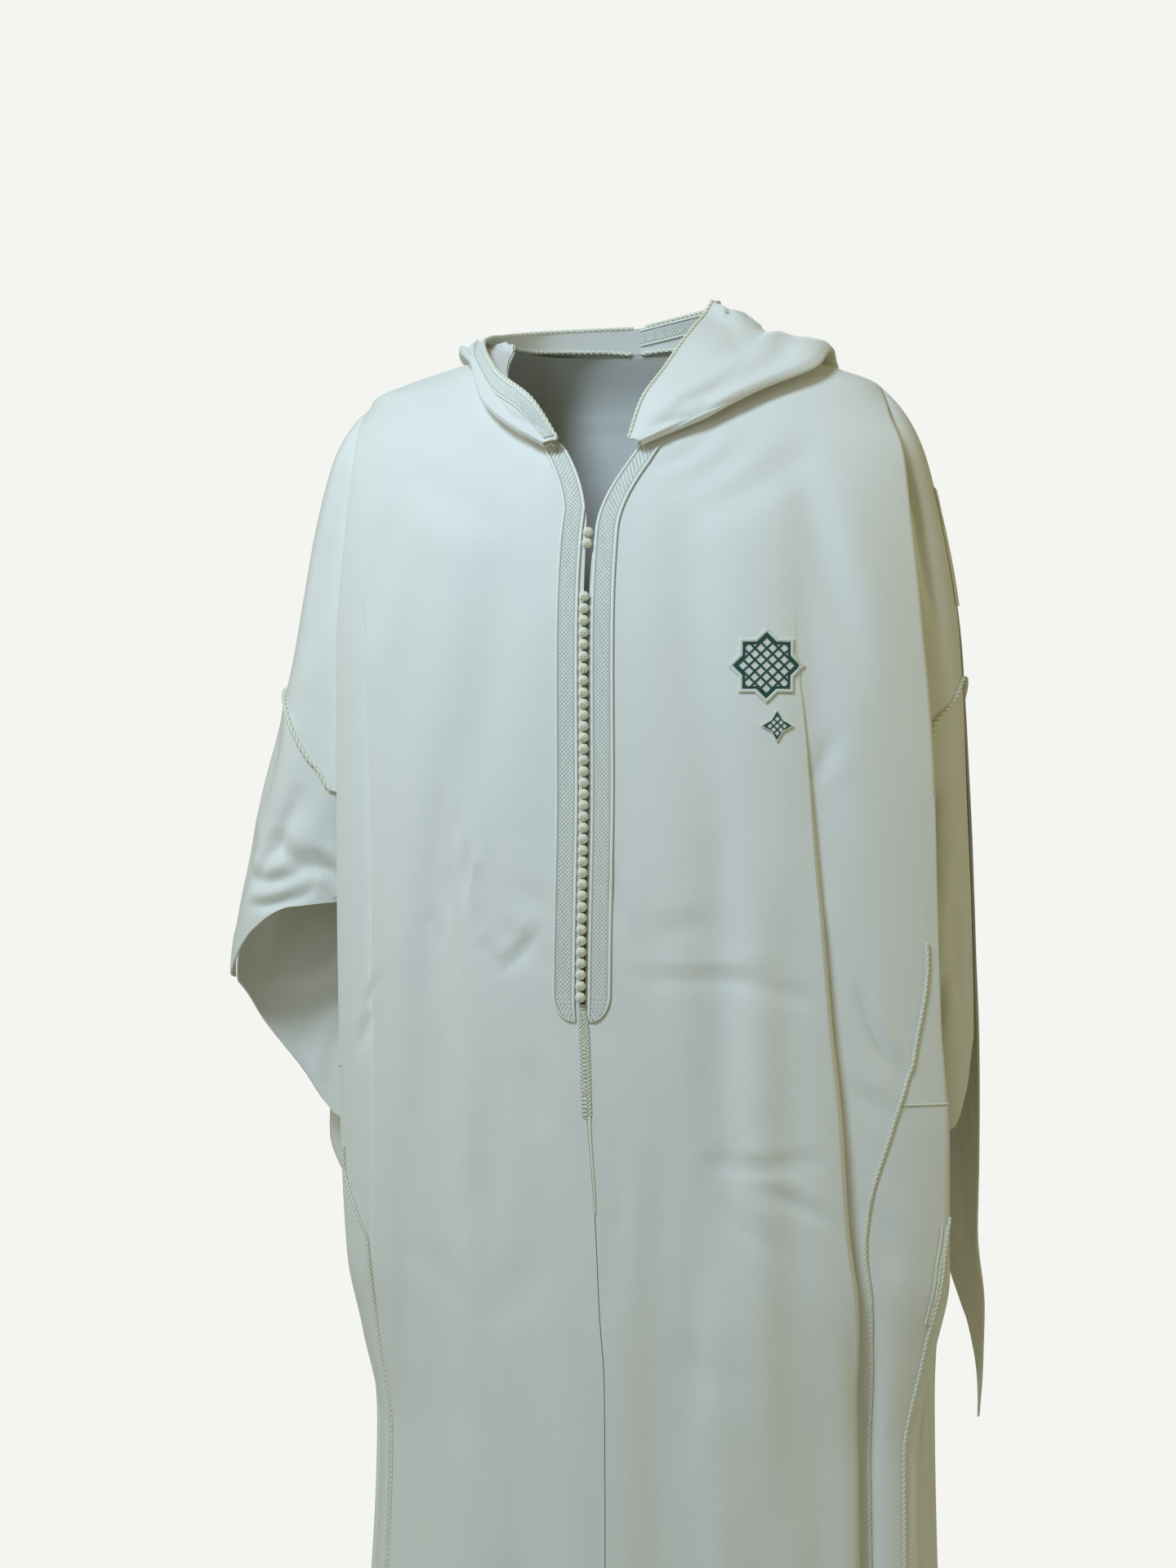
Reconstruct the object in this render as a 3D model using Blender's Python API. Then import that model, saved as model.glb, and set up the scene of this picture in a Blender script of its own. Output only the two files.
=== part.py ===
"""A long hooded robe of ivory cloth, in the hollow shape that it has when it is worn.

Sizes are in millimetres and MM turns them into metres. X points to the wearer's left, Y to the back
and Z up, and the origin lies between the shoulders, where the wearer carries the robe.
A level of the robe is given by its drop, which is its distance below the origin.
"""

import math

import bmesh
import bpy
import numpy as np

MM = 0.001
WALL = 1.5                # cloth wall, with its pressed turnings
SEAM = 0.2                # each edge stops this far short of its seam
LIFT = 0.3                # what lies on a panel stays this far off it
HEM_DROP = 1380           # length of the robe below the shoulders
UNDERARM = 310            # drop of the lowest point of the armholes
SHOULDER_TIP = -4         # drop where the seam of the shoulder turns down the arm
SHOULDER_Y = 5            # the seam on the shoulders and arms lies this far behind the axis
ROUND = 2.4               # roundness of the chest and back, 2 is an ellipse
SIDES = ("right", "left")

# The front, one row a level: where its side fold stands on each side, and how far back that fold
# and the middle of the chest lie.
FRONT_COLUMNS = ("drop", "right", "left", "fold_y", "middle_y")
FRONT = (
    (-40, 96, 96, 5, -6), (-30, 130, 130, 5, -21), (-18, 168, 172, 5, -36), (-4, 200, 203, 5, -50),
    (4, 202, 206.5, -7, -58), (12, 203, 209.5, -19, -65), (20, 203, 212, -29, -71),
    (50, 203, 224, -46, -88),
    (100, 205, 231, -58, -105), (150, 208, 237, -65, -114), (190, 209, 241, -69, -119),
    (254, 208, 247, -73, -124), (310, 207, 250, -76, -127), (385, 206, 252, -78, -131),
    (475, 204, 255, -80, -134), (565, 202, 261, -81, -137), (660, 197, 261, -80, -141),
    (716, 187, 250, -74, -143), (790, 173, 237, -72, -145), (1080, 188, 242, -86, -157),
    (1380, 206, 262, -105, -172),
)

# The back in the same way.
BACK_COLUMNS = ("drop", "right", "left", "fold_y", "middle_y")
BACK = (
    (-44, 84, 84, 5, 70), (-40, 96, 96, 5, 73), (-30, 130, 130, 5, 81), (-18, 168, 172, 5, 90),
    (-4, 200, 203, 5, 98), (4, 202, 206.5, 17, 101), (12, 204, 209.5, 30, 104),
    (20, 205, 213, 40, 106), (50, 207, 224, 60, 112),
    (100, 210, 231, 75, 118), (150, 213, 236, 84, 121), (230, 217, 240, 91, 121),
    (310, 226, 241, 95, 120), (400, 245, 242, 96, 118), (500, 261, 243, 97, 120),
    (590, 266, 246, 97, 124), (640, 247, 244, 96, 128), (720, 229, 240, 95, 134),
    (790, 214, 237, 96, 138), (1080, 217, 244, 106, 152), (1380, 237, 262, 120, 168),
)

# The cloth round each arm: its outer and inner sides, its front and its back.
ARM_COLUMNS = ("drop", "outer", "inner", "front_y", "back_y")
ARMS = {
    "right": (
        (-4, 200.1, 199.9, 4.9, 5.1), (4, 207, 196, -3.5, 13), (12, 214, 192, -13.5, 24),
        (30, 225, 190, -26, 35), (50, 233, 188, -33, 44), (100, 246, 186, -38, 52), (150, 255, 185, -42, 56),
        (200, 264, 185, -44, 58), (250, 276, 185, -45, 58), (310, 292, 186, -46, 56),
        (360, 302, 190, -47, 52), (405, 312, 196, -47, 48), (450, 318, 204, -44, 46),
        (484, 309, 210, -38, 45), (510, 294, 215, -32, 44), (536, 278, 220, -25, 43),
        (575, 262, 226, -18, 42),
    ),
    "left": (
        (-4, 203.1, 202.9, 4.9, 5.1), (4, 211, 198, -3.5, 13), (12, 218, 193, -13.5, 24),
        (30, 229, 191, -26, 35), (50, 237, 189, -33, 44), (100, 249, 187, -38, 52), (150, 258, 186, -42, 56),
        (200, 264, 186, -44, 58), (250, 267.5, 186, -45, 58), (310, 270, 186, -46, 58),
        (400, 274, 190, -46, 58), (500, 276, 206, -46, 57), (560, 276, 220, -44, 56),
        (650, 276, 236, -38, 54), (700, 280, 244, -34, 52), (740, 280, 250, -32, 50),
        (786, 277, 255, -30, 48),
    ),
}
ARM_ROUND = 0.85          # 1 is an ellipse, less is fuller at the corners

# The front edges: where the middle lies, and half the gap between them. Above the drop of 50 the
# gap is the neckline's.
EDGE_COLUMNS = ("drop", "middle", "half_gap")
EDGE = (
    (-40, 0, 84), (-30, 0, 84), (-18, 0, 82), (-4, 1, 78), (12, 2, 69), (30, 3, 52), (50, 4, 27),
    (103, 0, 4.2), (118, -1, 3.0), (158, -2, 2.2), (324, 0, 2.0), (462, -1, 2.0), (476, 0, 0.4),
    (543, 3, 0.3), (612, 9, 0.3), (683, 13, 0.3), (737, 17, 0.3), (1080, 20, 0.3), (1380, 22, 0.3),
)

# The sharp fold beside the chest: its place as a share of the way to the side fold, and how far
# the cloth beside it falls back.
PLEAT_COLUMNS = ("drop", "right", "left", "right_depth", "left_depth")
PLEAT = (
    (-40, 0.88, 0.63, 0, 0), (140, 0.88, 0.63, 0, 0), (190, 0.86, 0.63, 2, 0.3),
    (264, 0.845, 0.645, 5, 3), (385, 0.83, 0.67, 9, 9), (500, 0.83, 0.695, 10, 12),
    (617, 0.85, 0.71, 11, 14), (790, 0.92, 0.81, 11, 16), (1080, 0.90, 0.82, 14, 18),
    (1380, 0.88, 0.81, 17, 22),
)
PLEAT_SHARE = 0.60        # the fold's edge on the way from the middle, 0, to the side fold, 1
PLEAT_FOOT = 0.64         # the foot of the fold
PLEAT_RISE = 0.82         # where the cloth has come forward again
PLEAT_OVERLAP = 1.5       # the foot lies this far beyond the edge
RISE_PLACE = 0.48         # the rise lies this far from the fold towards the side fold
RISE_DEPTH = 0.25         # share of the fold's depth that is left at the rise

# The sides of the skirt, where they stand out least or most.
SIDE_COLUMNS = ("drop", "right", "left")
SIDE = (
    (310, 178, 178), (345, 174, 175), (385, 172, 176), (500, 174, 186), (600, 186, 204),
    (660, 188, 216), (720, 186, 228), (790, 181, 232), (1080, 196, 241), (1380, 216, 262),
)

# Seams of the gores, as places round the robe: 0 is the middle of the front, 1 its side fold,
# 2 the side, 3 the side fold of the back and 4 the middle of the back.
GORE_FRONT = {
    "right": ((310, 0.965), (590, 0.965), (622, 0.86), (646, 0.75), (690, 0.72), (1380, 0.72)),
    "left": ((310, 0.965), (425, 0.965), (497, 0.91), (533, 0.85), (563, 0.80), (611, 0.735),
             (654, 0.71), (1380, 0.71)),
}
GORE_BACK = ((310, 3.035), (420, 3.035), (560, 3.2), (700, 3.3), (1380, 3.35))

# The armhole seam: places round the robe from the side fold, 1, to the top of the arm, 2.
ARMHOLE = {
    "right": ((1.0, 310), (1.15, 304), (1.25, 287), (1.6, 243), (1.85, 226), (2.0, 222)),
    "left": ((1.0, 310), (1.15, 304), (1.25, 257), (1.6, 240), (1.85, 226), (2.0, 219)),
}
TUCK_SHARE = 1.15         # where the cloth behind the side fold reaches the arm
TUCK_INSET = 6            # and how far inside the fold that is

# Soft folds: side, face, then x and drop at the top and at the bottom, half-width and depth.
# A negative depth stands out.
SOFT_COLUMNS = ("side", "face", "x_top", "x_low", "drop_top", "drop_low", "width", "depth")
SOFT_FOLDS = (
    ("right", "front", 112, 130, 250, 1000, 20, 6),
    ("right", "front", 70, 84, 480, 1400, 14, 4),
    ("right", "front", 36, 40, 560, 1400, 16, 3),
    ("right", "front", 150, 146, 180, 700, 16, -2),
    ("left", "front", 92, 104, 240, 620, 16, 3),
    ("left", "front", 60, 78, 500, 1400, 20, 5),
    ("left", "front", 130, 136, 330, 900, 18, -3),
    ("left", "front", 120, 150, 760, 1500, 22, 6),
    ("right", "back", 60, 66, 180, 1500, 22, 6),
    ("right", "back", 130, 138, 120, 1500, 18, 8),
    ("right", "back", 182, 176, 330, 1500, 18, 6),
    ("left", "back", 24, 30, 240, 1500, 20, 4),
    ("left", "back", 98, 108, 150, 1500, 20, 8),
    ("left", "back", 168, 172, 200, 1500, 20, 7),
)
SOFT_FADE = 120           # a soft fold grows to its depth over this drop

# The sleeves, by the angle round the arm: 0 at its top, 90 in front, 180 inside and 270 behind.
SLEEVE_HEM = {
    "right": ((0, 456), (25, 450), (60, 415), (90, 396), (135, 392), (180, 440), (225, 560),
              (260, 571), (290, 558), (325, 510), (345, 470), (360, 458)),
    "left": ((0, 480), (14, 496), (30, 528), (60, 556), (90, 560), (135, 564), (180, 590),
             (225, 640), (265, 700), (300, 744), (330, 774), (345, 785), (360, 778)),
}
SLIT_COLUMNS = ("drop", "right_front", "right_back", "left_front", "left_back")
SLIT = (
    (166, 0, 360, 0, 360), (200, 1.5, 358.5, 8, 359), (300, 2, 358, 14, 358),
    (450, 2, 358, 17, 356), (560, 2, 358, 20, 354), (786, 2, 358, 20, 352),
)
INNER_TOP = 309           # drop of the sleeve's seam under the arm

# The hood, one row a section from its front corner, 0, to its middle at the back, 1: the neck
# seam, the lowest fold and the rim, and how far the hood bulges between the last two.
HOOD_COLUMNS = ("place", "seam", "fold", "rim", "bulge")
HOOD = {
    "right": (
        (0.00, (30, -87, -48), (39, -92, -50), (28, -98, -43), 1),
        (0.14, (57, -79, -27), (67, -86, -33), (49, -92, -12), 3),
        (0.28, (78, -53, 4), (92, -70, -12), (86, -60, 18), 2),
        (0.42, (86, -16, 37), (113, -30, 24), (104, -18, 47), 3),
        (0.56, (82, 18, 49), (132, 34, 26), (101, 31, 58), 4),
        (0.78, (50, 56, 50), (112, 122, -120), (74, 65, 66), 16),
        (1.00, (0.15, 73, 50), (0.15, 130, -276), (0.15, 84, 70), 20),
    ),
    "left": (
        (0.00, (31, -87, -48), (36, -96, -49), (26, -98, -44), 1),
        (0.14, (58, -79, -27), (74, -92, -30), (34, -88, -14), 5),
        (0.28, (78, -53, 4), (120, -66, -8), (48, -66, 14), 10),
        (0.42, (86, -16, 37), (161, -28, 10), (61, -36, 44), 12),
        (0.56, (82, 18, 49), (158, 34, 10), (75, 16, 76), 10),
        (0.78, (50, 56, 50), (120, 124, -130), (58, 62, 78), 16),
        (1.00, (0.15, 73, 50), (0.15, 130, -276), (0.15, 84, 70), 20),
    ),
}
HOOD_ACROSS_KNOTS = (0, 0.18, 0.34, 0.42, 0.5, 0.72, 1)
HOOD_GAPS = (0.7, 7.8, 8.6, 12.5, 17, 17.5, 14)  # least height over the robe at each of those
FOLD_SHARE = 0.38         # thickness of the turn of the lowest fold, as a share of its depth
HOOD_FULL = 60            # where the hood is narrower than this, those heights shrink

BAND_WIDTH = 17.5         # woven band with its cords
BAND_THICK = 1.2
CORD_RISE = 1.0           # the cords stand this much higher than the band
HOOD_BAND_WIDTH = 14
HOOD_BAND_SHARES = np.array([0, 0.16, 0.84, 1.0])
BAND_TOP = 50
BAND_END = 474            # the rounded lower end of the placket
BAND_ROUND = 20
KNOT_RADIUS = 3.9
KNOT_PLACE = -1           # the knots stand this far from the middle, to the right
TOP_KNOTS = (114, 122.4)
UPPER_KNOTS = (162, 224, 8)      # first drop, last drop and number
LOWER_KNOTS = (233, 455.5, 28)

BRAID_TOP = 479
BRAID_END = 612
ARM_TRIM = (75, 164)      # drops of the trim on top of each arm
POCKET = (622, 693)       # drops of the pocket slits
POCKET_SHARE = 0.026      # width of the pocket's trim, as a share of the gore's
POCKET_REACH = 0.004
STAR_CENTRE = (131, 214)
STAR_RADIUS = 28
DROP_CENTRE = (139, 258)
DROP_RADIUS = 12
POCKET_PLACE = {
    "right": ((310, 2.0), (1380, 2.0)),
    "left": ((600, 1.0), (622, 0.998), (655, 0.975), (690, 0.955), (734, 0.94), (790, 0.915)),
}

CLOTH = (0.80, 0.82, 0.76)
BAND = (0.66, 0.70, 0.66)
CORD = (0.74, 0.76, 0.70)
GREEN = (0.02, 0.09, 0.06)


def smooth(knots, values, at):
    """Cubic through the values at the knots that never overshoots. Values may hold one column for
    each column of `at`."""
    knots, values = np.asarray(knots, float), np.asarray(values, float)
    gaps = np.diff(knots).reshape((-1,) + (1,) * (values.ndim - 1))
    slope = np.diff(values, axis=0) / gaps
    tangent = np.zeros_like(values)
    same = slope[:-1] * slope[1:] > 0
    total = np.where(same, slope[:-1] + slope[1:], 1)
    tangent[1:-1] = np.where(same, 2 * slope[:-1] * slope[1:] / total, 0)
    tangent[0], tangent[-1] = slope[0], slope[-1]
    at = np.clip(at, knots[0], knots[-1])
    start = np.clip(np.searchsorted(knots, at, side="right") - 1, 0, len(knots) - 2)
    width = knots[start + 1] - knots[start]
    t = (at - knots[start]) / width

    def pick(source, index):
        return source[index] if source.ndim == 1 else np.take_along_axis(source, index, 0)

    p0, p1 = pick(values, start), pick(values, start + 1)
    m0, m1 = pick(tangent, start) * width, pick(tangent, start + 1) * width
    return ((2 * t ** 3 - 3 * t ** 2 + 1) * p0 + (t ** 3 - 2 * t ** 2 + t) * m0
            + (3 * t ** 2 - 2 * t ** 3) * p1 + (t ** 3 - t ** 2) * m1)


def read(table, columns, name, at):
    """One named column of a table, read smoothly at any level."""
    first = [row[0] for row in table]
    return smooth(first, [row[columns.index(name)] for row in table], at)


def knots_at(knots, values, at):
    """Curve through points that are themselves rows: each value is a number or an array."""
    shape = at.shape
    stack = np.stack([np.broadcast_to(value, shape).ravel() for value in values])
    return smooth(knots, stack, at.ravel()[None, :]).reshape(shape)


def direction(side):
    return -1 if side == "right" else 1


def soft_fold_depth(side, face, x, drop):
    """Sum of bell-shaped troughs that run down the cloth and fade in and out."""
    depth = np.zeros(np.broadcast(x, drop).shape)
    for row in SOFT_FOLDS:
        fold = dict(zip(SOFT_COLUMNS, row))
        if (fold["side"], fold["face"]) != (side, face):
            continue
        along = (drop - fold["drop_top"]) / (fold["drop_low"] - fold["drop_top"])
        centre = fold["x_top"] + (fold["x_low"] - fold["x_top"]) * along
        fade = np.clip((drop - fold["drop_top"]) / SOFT_FADE, 0, 1)
        fade = fade * np.clip((fold["drop_low"] - drop) / SOFT_FADE, 0, 1)
        depth += fold["depth"] * fade * np.exp(-((x - centre) / fold["width"]) ** 2)
    return depth


def bulged(x, middle_y, fold_x, fold_y):
    """Rounded curve from the middle of the chest or back, through the side fold, to the seam line."""
    reach = np.clip((fold_y - SHOULDER_Y) / (middle_y - SHOULDER_Y), 0, 0.95)
    half_width = fold_x / (1 - reach ** ROUND) ** (1 / ROUND)
    share = np.clip(x / half_width, 0, 1)
    return SHOULDER_Y + (middle_y - SHOULDER_Y) * (1 - share ** ROUND) ** (1 / ROUND)


def front_points(side, place, drop):
    """The front from its edge, place 0, to its side fold, place 1, with the sharp fold between."""
    sign = direction(side)
    edge = read(EDGE, EDGE_COLUMNS, "half_gap", drop) + sign * read(EDGE, EDGE_COLUMNS, "middle", drop)
    fold_x = read(FRONT, FRONT_COLUMNS, side, drop)
    pleat_x = edge + (fold_x - edge) * read(PLEAT, PLEAT_COLUMNS, side, drop)
    depth = read(PLEAT, PLEAT_COLUMNS, side + "_depth", drop)
    foot_x = pleat_x + np.minimum(PLEAT_OVERLAP, 0.1 * (fold_x - pleat_x))
    rise_x = pleat_x + RISE_PLACE * (fold_x - pleat_x)
    knots = (0, PLEAT_SHARE, PLEAT_FOOT, PLEAT_RISE, 1)
    x = knots_at(knots, (edge, pleat_x, foot_x, rise_x, fold_x), place)
    back = knots_at(knots, (0, 0, depth, RISE_DEPTH * depth, 0), place)
    y = bulged(x, read(FRONT, FRONT_COLUMNS, "middle_y", drop), fold_x,
               read(FRONT, FRONT_COLUMNS, "fold_y", drop))
    away = np.clip((fold_x - x) / 12, 0, 1)
    return x, y + back + away * soft_fold_depth(side, "front", x, drop)


def back_points(side, place, drop):
    """The back from its side fold, place 3, to its middle, place 4."""
    fold_x = read(BACK, BACK_COLUMNS, side, drop)
    x = fold_x * (4 - place)
    y = bulged(x, read(BACK, BACK_COLUMNS, "middle_y", drop), fold_x,
               read(BACK, BACK_COLUMNS, "fold_y", drop))
    away = np.clip((fold_x - x) / 12, 0, 1) * np.clip(x / 12, 0, 1)
    return x, y - away * soft_fold_depth(side, "back", x, drop)


def arm_points(side, angle, drop):
    """The cloth round the arm, at an angle in degrees from its top over its front."""
    rows = ARMS[side]
    outer = read(rows, ARM_COLUMNS, "outer", drop)
    inner = read(rows, ARM_COLUMNS, "inner", drop)
    turn = np.radians(angle)
    across, along = np.cos(turn), np.sin(turn)
    x = (outer + inner) / 2 + (outer - inner) / 2 * np.sign(across) * np.abs(across) ** ARM_ROUND
    front = read(rows, ARM_COLUMNS, "front_y", drop) - SHOULDER_Y
    back = read(rows, ARM_COLUMNS, "back_y", drop) - SHOULDER_Y
    y = SHOULDER_Y + np.where(along > 0, front, back) * np.abs(along) ** ARM_ROUND
    return x, y


def tuck_angle(side, fold_x, drop):
    """Angle round the arm of the point that lies just inside the side fold."""
    rows = ARMS[side]
    outer = read(rows, ARM_COLUMNS, "outer", drop)
    inner = read(rows, ARM_COLUMNS, "inner", drop)
    inset = np.minimum(np.minimum(TUCK_INSET, 0.5 * (outer - fold_x)), 0.1 * (drop - SHOULDER_TIP) - 1.5)
    across = np.clip((2 * (fold_x - inset) - outer - inner) / (outer - inner), -0.3, 0.96)
    return np.degrees(np.arccos(np.sign(across) * np.abs(across) ** (1 / ARM_ROUND)))


def arm_angle(side, place, drop):
    """Angle round the arm of a place between the tucks, which leaves the slit open."""
    front = place <= 2
    fold_x = np.where(front, read(FRONT, FRONT_COLUMNS, side, drop), read(BACK, BACK_COLUMNS, side, drop))
    tuck = tuck_angle(side, fold_x, drop)
    first = read(SLIT, SLIT_COLUMNS, side + "_front", drop)
    last = read(SLIT, SLIT_COLUMNS, side + "_back", drop)
    share = (2 - np.where(front, place, 4 - place)) / (2 - TUCK_SHARE)
    return np.where(front, first + (tuck - first) * share, last + (360 - tuck - last) * share)


def shoulder_points(side, place, drop):
    """The cloth over the arm, from the side fold of the front, 1, over the top, 2, to the back, 3."""
    front = place <= 2
    mirrored = np.where(front, place, 4 - place)
    columns = np.where(front, read(FRONT, FRONT_COLUMNS, side, drop), read(BACK, BACK_COLUMNS, side, drop))
    front_y = bulged(columns, read(FRONT, FRONT_COLUMNS, "middle_y", drop), columns,
                     read(FRONT, FRONT_COLUMNS, "fold_y", drop))
    back_y = bulged(columns, read(BACK, BACK_COLUMNS, "middle_y", drop), columns,
                    read(BACK, BACK_COLUMNS, "fold_y", drop))
    fold_y = np.where(front, front_y, back_y)
    tuck = tuck_angle(side, columns, drop)
    arm_x, arm_y = arm_points(side, arm_angle(side, place, drop), drop)
    tuck_x, tuck_y = arm_points(side, np.where(front, tuck, 360 - tuck), drop)
    knots = (1, 1.05, TUCK_SHARE)
    step_x = knots_at(knots, (columns, columns - 0.4, tuck_x), np.minimum(mirrored, TUCK_SHARE))
    step_y = knots_at(knots, (fold_y, fold_y + 0.4 * (tuck_y - fold_y), tuck_y),
                      np.minimum(mirrored, TUCK_SHARE))
    on_arm = mirrored >= TUCK_SHARE
    return np.where(on_arm, arm_x, step_x), np.where(on_arm, arm_y, step_y)


def side_points(side, place, drop):
    """The side of the skirt, from the side fold of the front, 1, to that of the back, 3."""
    front = place <= 2
    mirrored = np.where(front, place, 4 - place)
    fold_x = np.where(front, read(FRONT, FRONT_COLUMNS, side, drop), read(BACK, BACK_COLUMNS, side, drop))
    fold_y = np.where(front, read(FRONT, FRONT_COLUMNS, "fold_y", drop),
                      read(BACK, BACK_COLUMNS, "fold_y", drop))
    inward = np.where(front, 1, -1)
    side_x = read(SIDE, SIDE_COLUMNS, side, drop)
    out = np.maximum(fold_x - side_x, 0)
    knots = (1, 1.04, 1.15, 1.4, 1.65, 1.85, 2)
    tuck = np.minimum(7, 0.3 * out)
    x = knots_at(knots, (fold_x, fold_x - 0.3, fold_x - tuck, side_x + 0.5 * out,
                         side_x + np.minimum(5, 0.5 * out), side_x - 1, side_x), mirrored)
    mouth = np.where(front, -42, 62)
    y = knots_at(knots, (fold_y, fold_y + 7 * inward, fold_y + 13 * inward, fold_y + 18 * inward,
                         mouth, np.where(front, -18, 36), 8), mirrored)
    return x, y


def robe(side, place, drop, skirt):
    """Point of the cloth's outer face at a place round the robe. Between the side folds the cloth
    belongs to the arm above the armhole, and to the skirt below it."""
    place, drop = np.broadcast_arrays(np.asarray(place, float), np.asarray(drop, float))
    middle = side_points if skirt else shoulder_points
    front_x, front_y = front_points(side, np.clip(place, 0, 1), drop)
    back_x, back_y = back_points(side, np.clip(place, 3, 4), drop)
    middle_x, middle_y = middle(side, np.clip(place, 1, 3), drop)
    x = np.where(place <= 1, front_x, np.where(place >= 3, back_x, middle_x))
    y = np.where(place <= 1, front_y, np.where(place >= 3, back_y, middle_y))
    return np.stack([direction(side) * x, y, -drop], -1)


def robe_wall(side, place, drop, skirt):
    """Points of the outer and the inner face, one wall apart. The wall has the same direction on
    both sides of a seam, so that the pieces beside it don't cross."""
    place, drop = np.broadcast_arrays(np.asarray(place, float), np.asarray(drop, float))
    outer = robe(side, place, drop, skirt)
    down = robe(side, place, drop + 1.5, skirt) - robe(side, place, drop - 1.5, skirt)
    along = robe(side, place + 0.012, drop, skirt) - robe(side, place - 0.012, drop, skirt)
    along = np.where((place > 3.999)[..., None], [-direction(side), 0, 0], along)
    inward = -direction(side) * np.cross(down, along)
    inward /= np.linalg.norm(inward, axis=-1, keepdims=True)
    return outer, outer + WALL * inward


def armhole_drop(side, place):
    mirrored = np.where(place <= 2, place, 4 - place)
    rows = ARMHOLE[side]
    return smooth([row[0] for row in rows], [row[1] for row in rows], mirrored)


def seam_place(rows, drop):
    return smooth([row[0] for row in rows], [row[1] for row in rows], drop)


def place_of(side, x, drop):
    """Place on the front whose distance from the middle is x, found by halving."""
    low, high = np.zeros(np.broadcast(x, drop).shape), np.ones(np.broadcast(x, drop).shape)
    drop = np.broadcast_to(drop, low.shape)
    for _ in range(26):
        half = (low + high) / 2
        beyond = front_points(side, half, drop)[0] > x
        high, low = np.where(beyond, half, high), np.where(beyond, low, half)
    return (low + high) / 2


def on_front(x, drop):
    """Point of the front's outer face at x, which is negative on the right side."""
    x, drop = np.broadcast_arrays(np.asarray(x, float), np.asarray(drop, float))
    points = []
    for side in SIDES:
        place = place_of(side, direction(side) * x, drop)
        points.append(robe(side, place, drop, True))
    right, left = points
    point = np.where((x < 0)[..., None], right, left)
    point[..., 0] = x
    return point


def normals_of(points):
    """Unit normals of a grid of points: down its rows crossed with along its columns."""
    down, along = np.gradient(points, axis=0), np.gradient(points, axis=1)
    normal = np.cross(down, along)
    return normal / np.linalg.norm(normal, axis=-1, keepdims=True)


def trimmed(points, top=0, bottom=0, first=0, last=0):
    """The grid with its outermost rows and columns drawn in by the given amounts."""
    points = points.copy()
    for edge, inner, amount in ((points[0], points[1], top), (points[-1], points[-2], bottom),
                                (points[:, 0], points[:, 1], first), (points[:, -1], points[:, -2], last)):
        step = inner - edge
        edge += amount * step / np.linalg.norm(step, axis=-1, keepdims=True)
    return points


def material(name, colour, roughness):
    made = bpy.data.materials.new(name)
    made.use_nodes = True
    shader = made.node_tree.nodes["Principled BSDF"]
    shader.inputs["Base Color"].default_value = (*colour, 1)
    shader.inputs["Roughness"].default_value = roughness
    shader.inputs["Metallic"].default_value = 0
    made.diffuse_color = (*colour, 1)
    return made


def add_object(name, mesh, finish, collection):
    mesh.materials.append(finish)
    mesh.shade_smooth()
    piece = bpy.data.objects.new(name, mesh)
    collection.objects.link(piece)
    return piece


def grid_faces(rows, columns, start, flip):
    """Two triangles for each cell, cut the same way in both faces of a wall."""
    faces = []
    for r in range(rows - 1):
        for c in range(columns - 1):
            a = start + r * columns + c
            for face in ((a, a + columns, a + columns + 1), (a, a + columns + 1, a + 1)):
                faces.append(face[::-1] if flip else face)
    return faces


def cloth(name, grids, flip, finish, collection):
    """A closed wall through one or more grids that share their edges. Each grid is a pair: points
    of the cloth's outer face, and those of its inner face."""
    outer, inner, faces = [], [], []
    for out_points, in_points in grids:
        faces += grid_faces(out_points.shape[0], out_points.shape[1], len(outer), flip)
        outer += out_points.reshape(-1, 3).tolist()
        inner += in_points.reshape(-1, 3).tolist()
    found, first, where = np.unique(np.round(np.array(outer), 2), axis=0, return_index=True,
                                    return_inverse=True)
    where = where.ravel()
    corners = [tuple(dict.fromkeys(int(where[corner]) for corner in face)) for face in faces]
    corners = [face for face in corners if len(face) > 2]
    count = len(found)
    edges = {pair for face in corners for pair in zip(face, face[1:] + face[:1])}
    rims = [(b, a, a + count, b + count) for a, b in edges if (b, a) not in edges]
    backs = [tuple(corner + count for corner in face[::-1]) for face in corners]
    points = np.concatenate([np.array(outer)[first], np.array(inner)[first]])
    mesh = bpy.data.meshes.new(name)
    mesh.from_pydata((points * MM).tolist(), [], corners + backs + sorted(rims))
    return add_object(name, mesh, finish, collection)


def laid_on(name, base, normals, heights, flip, finish, collection, lift=LIFT, closed=False):
    """A flat-backed piece on a grid of points: its back lifted off them, its face raised by the
    heights. A closed grid runs round a centre that is its first column."""
    under = base + normals * lift
    over = base + normals * (lift + heights)[..., None]
    rows, columns = base.shape[:2]
    count = rows * columns
    faces = grid_faces(rows, columns, 0, flip) + grid_faces(rows, columns, count, not flip)
    border = [c for c in range(columns)] + [r * columns + columns - 1 for r in range(1, rows)]
    border += [(rows - 1) * columns + c for c in range(columns - 2, -1, -1)]
    border += [r * columns for r in range(rows - 2, 0, -1)]
    if closed:
        border = [r * columns + columns - 1 for r in range(rows)]
    pairs = list(zip(border, border[1:] + border[:1]))
    if closed:
        pairs = pairs[:-1]
    for a, b in pairs:
        face = (a, a + count, b + count, b)
        faces.append(face[::-1] if not flip else face)
    mesh = bpy.data.meshes.new(name)
    mesh.from_pydata((np.concatenate([over.reshape(-1, 3), under.reshape(-1, 3)]) * MM).tolist(), [], faces)
    work = bmesh.new()
    work.from_mesh(mesh)
    bmesh.ops.remove_doubles(work, verts=work.verts, dist=0.00001)
    bmesh.ops.recalc_face_normals(work, faces=work.faces)
    work.to_mesh(mesh)
    work.free()
    return add_object(name, mesh, finish, collection)


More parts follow.
